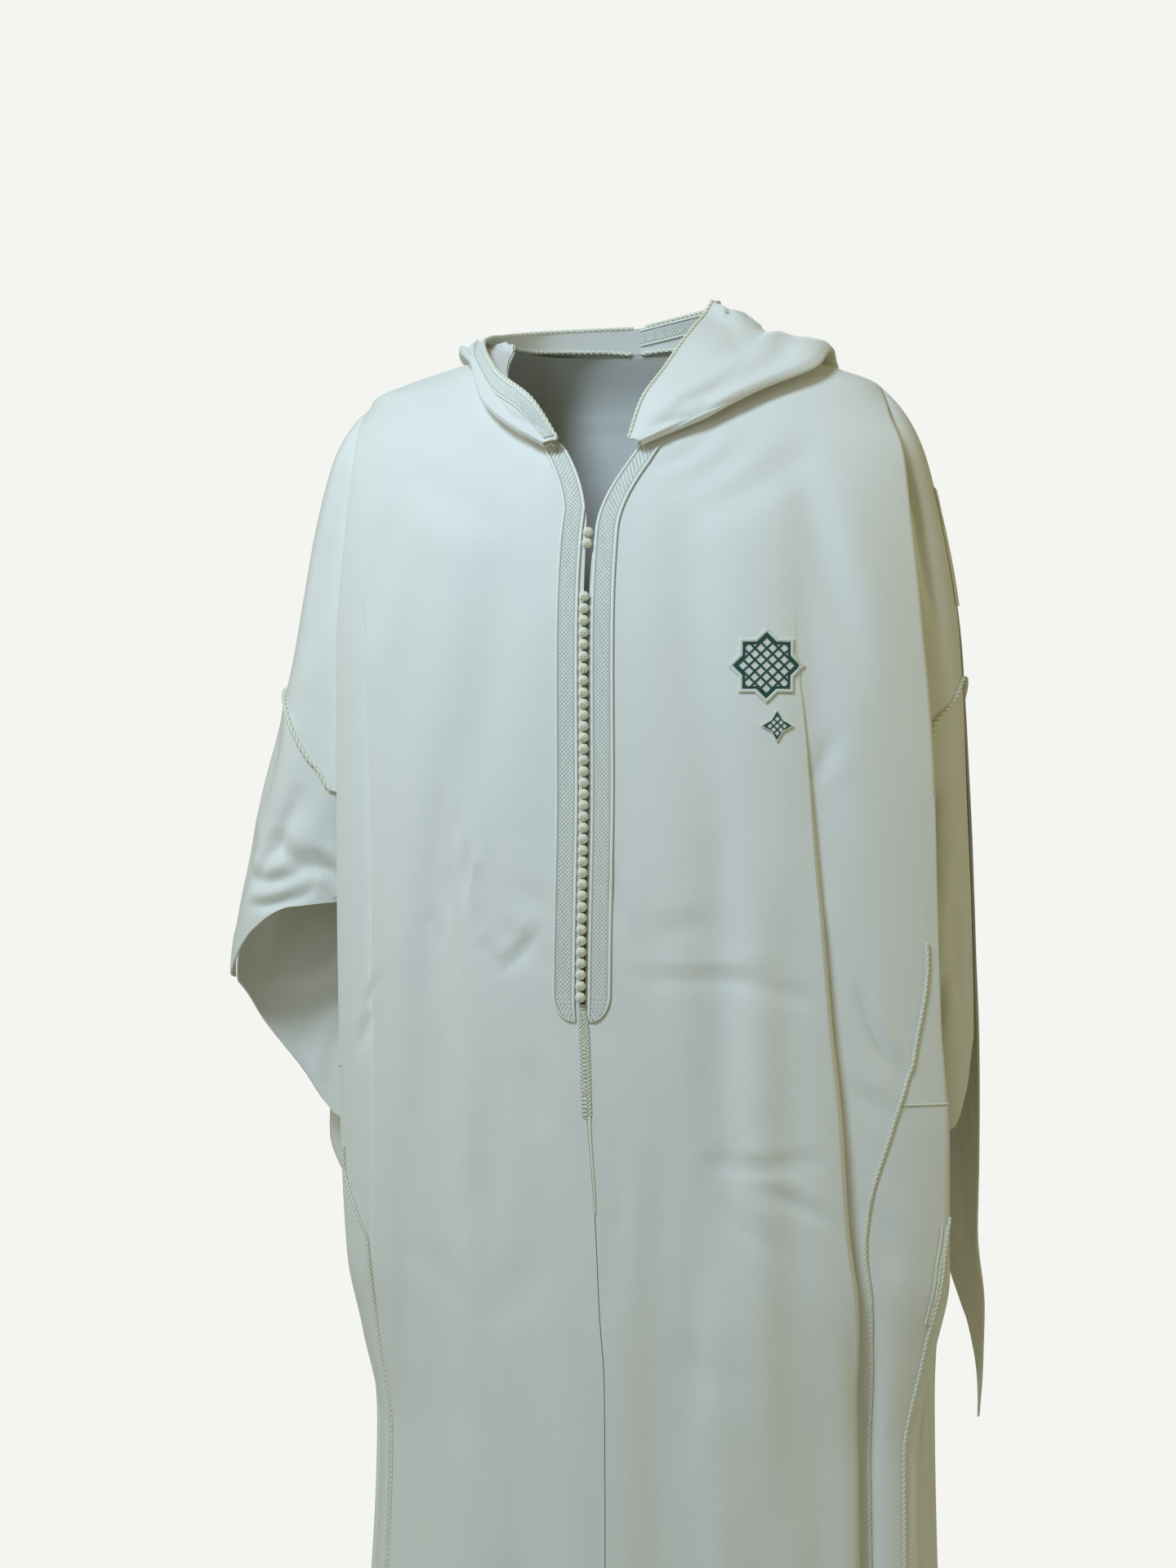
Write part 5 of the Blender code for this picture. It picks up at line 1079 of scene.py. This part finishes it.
for side in SIDES:
    points, inward = hood_walls[side]
    rows, inner = points[::-1, 1:], inward[::-1, 1:]
    count = rows.shape[1]
    gone = np.cumsum(np.linalg.norm(np.diff(rows, axis=0), axis=-1), 0)
    lengths = np.concatenate([np.zeros((1, count)), gone])
    width = np.minimum(HOOD_BAND_WIDTH, lengths[-1] * 0.25)
    reach = 0.6 + width * HOOD_BAND_SHARES[:, None]

    def across_rim(source):
        return np.stack([np.stack([np.interp(reach[:, c], lengths[:, c], source[:, c, axis])
                                   for c in range(count)], -1) for axis in range(3)], -1)

    base, facing = across_rim(rows), across_rim(inner)
    travelled = np.concatenate([[0], np.cumsum(np.linalg.norm(np.diff(base[0], axis=0), axis=-1))])
    fine = np.linspace(0, travelled[-1], HOOD_BAND_STEPS)
    place = np.interp(fine, travelled, np.arange(count))
    low = np.clip(place.astype(int), 0, count - 2)
    part = (place - low)[None, :, None]
    base = base[:, low] * (1 - part) + base[:, low + 1] * part
    facing = facing[:, low] * (1 - part) + facing[:, low + 1] * part
    facing = facing if side == "left" else -facing
    lift = 1.2 if side == "left" else 0.3
    height, thread = band_height(HOOD_BAND_SHARES[:, None], HOOD_BAND_WIDTH, fine[None, :] + 0 * base[..., 0])
    raised = lift + (0.4 + 0.8 * height)[..., None]
    hood_band = cloth_piece("hood_band_%s_weave" % side, [(base + facing * raised, base + facing * lift)],
                            woven_band, thread=thread)
    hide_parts("hood_band_" + side)

# Knots. Thirty-eight round buttons, each knotted from silk cord, close the opening from the
# chest to the end of the bands, with two apart above them.
TOP_KNOTS = (114, 122.4)
UPPER_KNOTS = (162, 224, 8)      # first drop, last drop and number
LOWER_KNOTS = (233, 455.5, 28)
KNOT_LIFT = 0.3
KNOT_WRAPS = 3            # strands round each knot each way
KNOT_RELIEF = 0.22

# The second colour is a painted shade for the grooves of the twist and the hollows between strands, in the
# knots, braids, trims and seam cords.
twisted_cord = thread_finish("twisted_cord", (0.97, 0.94, 0.77), (0.38, 0.38, 0.26), 0.55)
knot_drops = np.concatenate([TOP_KNOTS, np.linspace(*UPPER_KNOTS), np.linspace(*LOWER_KNOTS)])
knot_middle = read(EDGE, EDGE_COLUMNS, "middle", knot_drops)
knot_gap = read(EDGE, EDGE_COLUMNS, "half_gap", knot_drops)
knot_x = knot_middle + KNOT_PLACE
knot_reach = []
for end in (-1, 1):
    seat = on_cloth(knot_middle + end * knot_gap, knot_drops)[0]
    reach = (KNOT_RADIUS + KNOT_LIFT) ** 2 - (seat[:, 0] - knot_x) ** 2
    knot_reach.append(seat[:, 1] - np.sqrt(np.maximum(reach, 0)))
knot_centres = np.stack([knot_x, np.minimum(*knot_reach), -knot_drops], -1)
tilt = np.linspace(0, math.pi, 17)[:, None]
turn = np.linspace(0, 2 * math.pi, 29)[None, :]
strands = np.maximum(np.abs(np.sin(KNOT_WRAPS * (turn + tilt))), np.abs(np.sin(KNOT_WRAPS * (turn - tilt))))
knot_radius = KNOT_RADIUS * (1 - KNOT_RELIEF + KNOT_RELIEF * strands ** 1.5)
ball = knot_radius[..., None] * np.stack([np.sin(tilt) * np.cos(turn), np.cos(tilt) + 0 * turn,
                                          np.sin(tilt) * np.sin(turn)], -1)
ball = ball.reshape(-1, 3)
ball_faces = row_of_triangles(17, 29, 0)
knot_points = (knot_centres[:, None] + ball[None]).reshape(-1, 3) * MM
knot_faces = (ball_faces[None] + (np.arange(len(knot_drops)) * len(ball))[:, None, None]).reshape(-1, 3)
# The thread attribute lays painted shade in the grooves between the wraps of each knot.
knots = mesh_piece("knots_of_cord", knot_points, knot_faces, twisted_cord,
                   thread=np.tile((strands ** 2).ravel(), len(knot_drops)))
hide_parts(*["knot_%02d" % number for number in range(1, len(knot_drops) + 1)])

# Braid. Below the bands a plaited braid and then a narrow double cord cover the centre seam.
BRAID_END = 612
BRAID_START = 461         # the plait starts between the ends of the bands
BRAID_TURN = 543          # drop where the plait ends and the double cord begins
BRAID_BASE = 0.5
BRAID_HEIGHT = 1.2
TRIM_SEAT = 0.2           # the underside of a braid or cord lies this far off the cloth


def plait_height(share, half, along, is_plait):
    """Plait of slanting strands where the mask is 1, and two ribbed cords side by side elsewhere. The height
    also sets the painted shade in the hollows between strands.
    """
    plait = lattice(share * half * 1.05, along * 1.1) * np.sqrt(np.clip(1 - share ** 6, 0, 1))
    cords = ribbed_cord(np.clip((np.abs(share) - 0.5) / 0.5, -1, 1), along, np.where(share < 0, 1, -1))
    return plait * is_plait + cords * (1 - is_plait)


braid_rows = np.linspace(BRAID_START, BRAID_END, 300)[:, None]
braid_shares = np.linspace(-1, 1, 19)[None, :]
half = smooth((BRAID_START, 484, 538, 546, BRAID_END), (2.3, 3.9, 3.9, 2.8, 1.4), braid_rows)
x = read(EDGE, EDGE_COLUMNS, "middle", braid_rows) + half * braid_shares
base, facing = on_cloth(x, braid_rows)
facing = facing[:, 9:10] + 0 * facing
thread = plait_height(braid_shares, half, braid_rows, (braid_rows < BRAID_TURN) * 1.0)
raised = (BRAID_BASE + BRAID_HEIGHT * thread)[..., None]
faces = (base + facing * raised, base + facing * TRIM_SEAT)
braid = cloth_piece("centre_braid_plait", [faces], twisted_cord, thread=thread)
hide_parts("centre_braid")

# Arm trims. A short plait and a double cord, ended by a bar, cover the seam on top of each arm
# above the open slit of the sleeve.
ARM_TRIM = (75, 164)      # drops of the trim on top of each arm
ARM_TRIM_TURN = 104
ARM_TRIM_HALF = 3.6

for side in SIDES:
    drops = np.linspace(*ARM_TRIM, 220)[:, None]
    shares = np.linspace(-1, 1, 19)[None, :]
    depth = read(ARMS[side], ARM_COLUMNS, "front_y", drops)
    places = 2 + ARM_TRIM_HALF / np.abs(depth - SHOULDER_Y) * shares
    base, inward = cloth_at(side, places, drops, False)
    thread = plait_height(shares, ARM_TRIM_HALF, drops, (drops < ARM_TRIM_TURN) * 1.0)
    bar = np.clip((drops - ARM_TRIM[1] + 3) / 0.4, 0, 1) + 0 * shares
    thread = np.maximum(thread, bar * ribbed_cord(shares * 0.9, drops, 0))
    raised = (BRAID_BASE + BRAID_HEIGHT * thread)[..., None]
    faces = (base - inward * raised, base - inward * TRIM_SEAT)
    trim = cloth_piece("arm_trim_%s_plait" % side, [faces], twisted_cord, thread=thread)
    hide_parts("arm_trim_" + side)

# Pocket trims. The slit of each side pocket is edged with a double cord.
POCKET = (622, 693)       # drops of the pocket slits
POCKET_SHARE = 0.026      # width of the pocket's trim, as a share of the gore's
POCKET_REACH = 0.004
POCKET_PLACE = {
    "right": ((310, 2.0), (1380, 2.0)),
    "left": ((600, 1.0), (622, 0.998), (655, 0.975), (690, 0.955), (734, 0.94), (790, 0.915)),
}

for side in SIDES:
    drops = np.linspace(*POCKET, 170)[:, None]
    shares = np.linspace(-1, 1, 15)[None, :]
    places = seam_place(POCKET_PLACE[side], drops) - POCKET_REACH - POCKET_SHARE * (0.5 - 0.5 * shares)
    base, inward = cloth_at(side, places, drops, True)
    thread = plait_height(shares, 2.0, drops, 0.0) + 0 * drops
    raised = (0.4 + 1.0 * thread)[..., None]
    faces = (base - inward * raised, base - inward * TRIM_SEAT)
    trim = cloth_piece("pocket_trim_%s_cord" % side, [faces], twisted_cord, thread=thread)
    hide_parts("pocket_trim_" + side)

# Seam cords. A fine twisted cord is sewn over the neck seam, the rim of the hood, the armholes,
# the seams of the gores and the left side seam.
SEAM_CORD = 1.5           # radius
ARM_CORD = 1.9
NECK_CORD = 1.9
RIM_CORD = 1.7
TWIST_SHARE = 2.6         # length of one twist, as a share of the radius
RING = 6                  # points round a cord
LEFT_SIDE_SEAM = ((615, 0.998), (655, 0.975), (690, 0.955), (734, 0.94), (790, 0.915), (1380, 0.90))
CORD_STARTS = {"right": 575, "left": 415}     # above these the seam lies in the fold of the arm
JOIN_RIGHT = 515          # drops of the joins across the gores
JOIN_LEFT = 533
JOIN_RADIUS = 0.7


def seam_cord(name, path, facing, radius, sunk=0.25):
    """A two-strand cord: rings along the path whose radius has two lobes that turn with the
    distance, closed to a point at both ends."""
    lengths = np.concatenate([[0], np.cumsum(np.linalg.norm(np.diff(path, axis=0), axis=-1))])
    twist = TWIST_SHARE * radius
    along = np.linspace(0, lengths[-1], max(int(lengths[-1] / twist * 4), 8))
    path = np.stack([np.interp(along, lengths, path[:, axis]) for axis in range(3)], -1)
    facing = np.stack([np.interp(along, lengths, facing[:, axis]) for axis in range(3)], -1)
    tangent = np.gradient(path, axis=0)
    tangent /= np.linalg.norm(tangent, axis=-1, keepdims=True)
    facing = facing - np.sum(facing * tangent, -1, keepdims=True) * tangent
    facing /= np.linalg.norm(facing, axis=-1, keepdims=True)
    aside = np.cross(tangent, facing)
    turn = np.linspace(0, 2 * math.pi, RING + 1)[:-1][None, :]
    lobe = np.abs(np.cos(turn - math.pi * along[:, None] / twist))
    reach = radius * (0.70 + 0.30 * lobe)
    reach[0], reach[-1] = 0.02, 0.02
    centre = path + facing * radius * (1 - sunk)
    rings = (centre[:, None] + reach[..., None] * (np.cos(turn)[..., None] * facing[:, None]
                                                   + np.sin(turn)[..., None] * aside[:, None]))
    count = len(along)
    corner = (np.arange(count - 1)[:, None] * RING + np.arange(RING)[None, :]).ravel()
    beside = (np.arange(count - 1)[:, None] * RING + (np.arange(RING)[None, :] + 1) % RING).ravel()
    faces = np.stack([corner, beside, beside + RING, corner + RING], -1)
    # The thread attribute lays painted shade in the grooves between the two lobes of the twist.
    piece = mesh_piece(name, rings.reshape(-1, 3) * MM, faces, twisted_cord, thread=(lobe ** 1.5).ravel())
    return piece


for side in SIDES:
    seam, inward = sleeve_at(side, np.zeros((1, 1)))
    seam_cord("armhole_%s_cord" % side, seam[0], -inward[0], ARM_CORD)
    for face, seams in (("front", GORE_FRONT[side]), ("back", GORE_BACK)):
        drops = np.linspace(CORD_STARTS[side] if face == "front" else UNDERARM + 4, HEM_DROP - 1, 200)
        path, inward = cloth_at(side, seam_place(seams, drops), drops, True)
        seam_cord("gore_%s_%s_cord" % (side, face), path, -inward, SEAM_CORD)
    points, inward = hood_walls[side]
    seam_cord("neck_%s_cord" % side, points[0, :-1], -inward[0, :-1], NECK_CORD, sunk=0.0)
    outward = points[-1] - points[-3]
    seam_cord("rim_%s_cord" % side, points[-1, :-1], outward[:-1], RIM_CORD, sunk=0.9)
    join = JOIN_RIGHT if side == "right" else JOIN_LEFT
    places = np.linspace(float(seam_place(GORE_FRONT[side], join)) + 0.01, 1.02, 40)
    path, inward = cloth_at(side, places, np.full(40, float(join)), True)
    seam_cord("gore_join_%s_thread" % side, path, -inward, JOIN_RADIUS)
drops = np.linspace(LEFT_SIDE_SEAM[0][0], HEM_DROP - 1, 160)
path, inward = cloth_at("left", seam_place(LEFT_SIDE_SEAM, drops), drops, True)
seam_cord("side_left_cord", path, -inward, SEAM_CORD)

# Motif. A stitched star and a small lozenge on the left of the chest: a green lattice on cloth,
# inside a green border and a cream cord.
STAR_CENTRE = (131, 214)
STAR_RADIUS = 28
DROP_CENTRE = (139, 258)
DROP_RADIUS = 12

def star_radius(angle, size, points=8, notch=0.765):
    """Outline of a star of two crossed squares: its points reach size, its notches notch of that."""
    part = np.abs(((angle * points / (2 * math.pi)) % 1) * 2 - 1)
    tip, hollow = size, size * notch
    span = math.pi / points
    turn = (1 - part) * span
    return tip * hollow * math.sin(span) / (tip * np.sin(turn) + hollow * np.sin(span - turn))


def drop_radius(angle, size):
    """Outline of a small upright lozenge with hollow sides."""
    return star_radius(angle, size, points=4, notch=0.52)

MOTIF_SEAT = 0.3          # the underside of the motif lies this far off the cloth
GREEN_LIGHT = (0.012, 0.075, 0.050)
CREAM = (0.82, 0.84, 0.72)
BORDER_SHARE = 0.76
CORD_START = 0.87
LATTICE_PITCH = 8.4       # of the green lattice of the star
LATTICE_STRAND = 0.30     # width of its strands, as a share of half the pitch


def stitched_finish():
    """Green thread on ivory cloth: the first attribute is where the green lies, the second where
    the cream cord lies."""
    finish = Finish("green_stitching", GREEN_LIGHT, 0.42)
    green = finish.node("ShaderNodeAttribute", {"attribute_name": "green"}, output=2)
    cream = finish.node("ShaderNodeAttribute", {"attribute_name": "cream"}, output=2)
    place = finish.node("ShaderNodeTexCoord", output=3)
    slant = finish.node("ShaderNodeTexWave", {"bands_direction": "DIAGONAL"}, output=1, Vector=place,
                        Scale=700.0, Distortion=1.5)
    ground = finish.mixed(green, CLOTH_COLOUR, GREEN_LIGHT)
    finish.feed("Base Color", finish.mixed(cream, ground, CREAM))
    finish.bump(slant, 0.3, 0.5)
    return finish.material


green_stitching = stitched_finish()
MOTIFS = (
    ("motif_star", STAR_CENTRE, star_radius, STAR_RADIUS, LATTICE_PITCH),
    ("motif_drop", DROP_CENTRE, drop_radius, DROP_RADIUS, 0.62 * LATTICE_PITCH),
)
for name, centre, radius, size, pitch in MOTIFS:
    angles = np.linspace(0, 2 * math.pi, 241)[:, None]
    shares = np.linspace(0.004, 1, 52)[None, :]
    x = radius(angles, size) * np.sin(angles) * shares
    up = radius(angles, size) * np.cos(angles) * shares
    base, facing = on_cloth(centre[0] + x, centre[1] - up)
    base[-1] = base[0]
    facing = np.mean(facing, axis=(0, 1)) + 0 * facing
    slants = np.minimum(np.abs((((x + up) / pitch) % 1) - 0.5), np.abs((((x - up) / pitch) % 1) - 0.5))
    strand = np.clip((LATTICE_STRAND - 2 * slants) / 0.10 + 0.5, 0, 1)
    border = np.clip((shares - BORDER_SHARE) / 0.02 + 0.5, 0, 1) + 0 * x
    green = np.maximum(strand, border) * (shares < CORD_START)
    cord_offset = np.clip((shares - (CORD_START + 1) / 2) / ((1 - CORD_START) / 2), -1, 1)
    cord = np.sqrt(np.clip(1 - cord_offset ** 2, 0, 1)) + 0 * x
    cream = (shares >= CORD_START) * 1.0 + 0 * x
    raised = 0.9 + 0.7 * green * (0.6 + 0.4 * np.clip((LATTICE_STRAND - 2 * slants) / LATTICE_STRAND, 0, 1)) \
        + 1.1 * cord * cream
    faces = (base + facing * raised[..., None], base + facing * MOTIF_SEAT)
    piece = cloth_piece(name + "_stitched", [faces], green_stitching, green=green, cream=cream)
    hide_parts(name)

# Floor. A pale round of studio floor under the hem.
FLOOR_REACH = 1.3
FLOOR_GAP = 0.004
FLOOR_COLOUR = (0.80, 0.81, 0.77)
turns = np.linspace(0, 2 * math.pi, 97)[:-1]
floor_rim = np.stack([FLOOR_REACH * np.cos(turns), FLOOR_REACH * np.sin(turns), 0 * turns], -1)
floor_mesh = bpy.data.meshes.new("studio_floor")
floor_mesh.from_pydata(floor_rim.tolist(), [], [list(range(len(turns)))])
floor_mesh.materials.append(Finish("studio_floor", FLOOR_COLOUR, 0.8).material)
floor = bpy.data.objects.new("studio_floor", floor_mesh)
floor.location = (0, 0, -HEM_DROP * MM - FLOOR_GAP)
bpy.context.scene.collection.objects.link(floor)

# Camera, level with the chest and a little to the wearer's left of the front, and soft light:
# a pale room all round, a large panel high in front, and a weaker one on each side.
CAMERA_TURN = math.radians(12)
CAMERA_REACH = 1.88       # metres to the front of the chest
CAMERA_AIM = (0, -0.12, -0.30)
FOCAL = 58.75
BACKDROP = (0.905, 0.913, 0.872)
ROOM_LIGHT = (1.0, 0.96, 0.60)
ROOM_STRENGTH = 0.18
LAMP_COLUMNS = ("name", "place", "aim", "size", "colour", "power")
LAMPS = (
    ("panel_front", (-0.5, -1.4, 1.05), (0, 0, 0.35), 0.6, (0.58, 0.76, 1.0), 28),
    ("panel_fill", (-0.6, -2.6, 0.3), (0, 0, 0), 0.9, (0.58, 0.76, 1.0), 7),
    ("panel_right", (2.2, -0.2, 0.4), (0.1, 0, -0.3), 1.0, (1.0, 0.94, 0.55), 7),
    ("panel_left", (-2.0, -0.5, 0.9), (0, 0, 0.3), 0.9, (0.90, 0.93, 0.78), 8),
    ("panel_back", (-0.4, 2.3, 1.0), (0, 0, -0.4), 1.2, (0.72, 0.84, 1.0), 24),
)

camera_data = bpy.data.cameras.new("camera")
camera_data.sensor_width = 36
camera_data.lens = FOCAL
camera = bpy.data.objects.new("camera", camera_data)
camera.location = (CAMERA_AIM[0] + CAMERA_REACH * math.sin(CAMERA_TURN),
                   CAMERA_AIM[1] - CAMERA_REACH * math.cos(CAMERA_TURN), CAMERA_AIM[2])
camera.rotation_euler = (math.pi / 2, 0, CAMERA_TURN)
bpy.context.scene.collection.objects.link(camera)
bpy.context.scene.camera = camera
bpy.context.scene.view_settings.view_transform = "Standard"

for row in LAMPS:
    lamp = dict(zip(LAMP_COLUMNS, row))
    light = bpy.data.lights.new(lamp["name"], "AREA")
    light.shape = "DISK"
    light.size = lamp["size"]
    light.color = lamp["colour"]
    light.energy = lamp["power"]
    holder = bpy.data.objects.new(lamp["name"], light)
    towards = np.array(lamp["aim"]) - np.array(lamp["place"])
    level = math.hypot(towards[0], towards[1])
    holder.location = lamp["place"]
    rise = math.atan2(towards[2], level)
    holder.rotation_euler = (math.pi / 2 + rise, 0, math.atan2(-towards[0], towards[1]))
    bpy.context.scene.collection.objects.link(holder)

room = bpy.data.worlds.new("room")
room.use_nodes = True
bpy.context.scene.world = room
nodes, links = room.node_tree.nodes, room.node_tree.links
seen = nodes["Background"]
seen.inputs["Color"].default_value = (*BACKDROP, 1)
lit = nodes.new("ShaderNodeBackground")
lit.inputs["Color"].default_value = (*ROOM_LIGHT, 1)
lit.inputs["Strength"].default_value = ROOM_STRENGTH
rays = nodes.new("ShaderNodeLightPath")
choice = nodes.new("ShaderNodeMixShader")
links.new(rays.outputs["Is Camera Ray"], choice.inputs[0])
links.new(lit.outputs[0], choice.inputs[1])
links.new(seen.outputs[0], choice.inputs[2])
links.new(choice.outputs[0], nodes["World Output"].inputs[0])
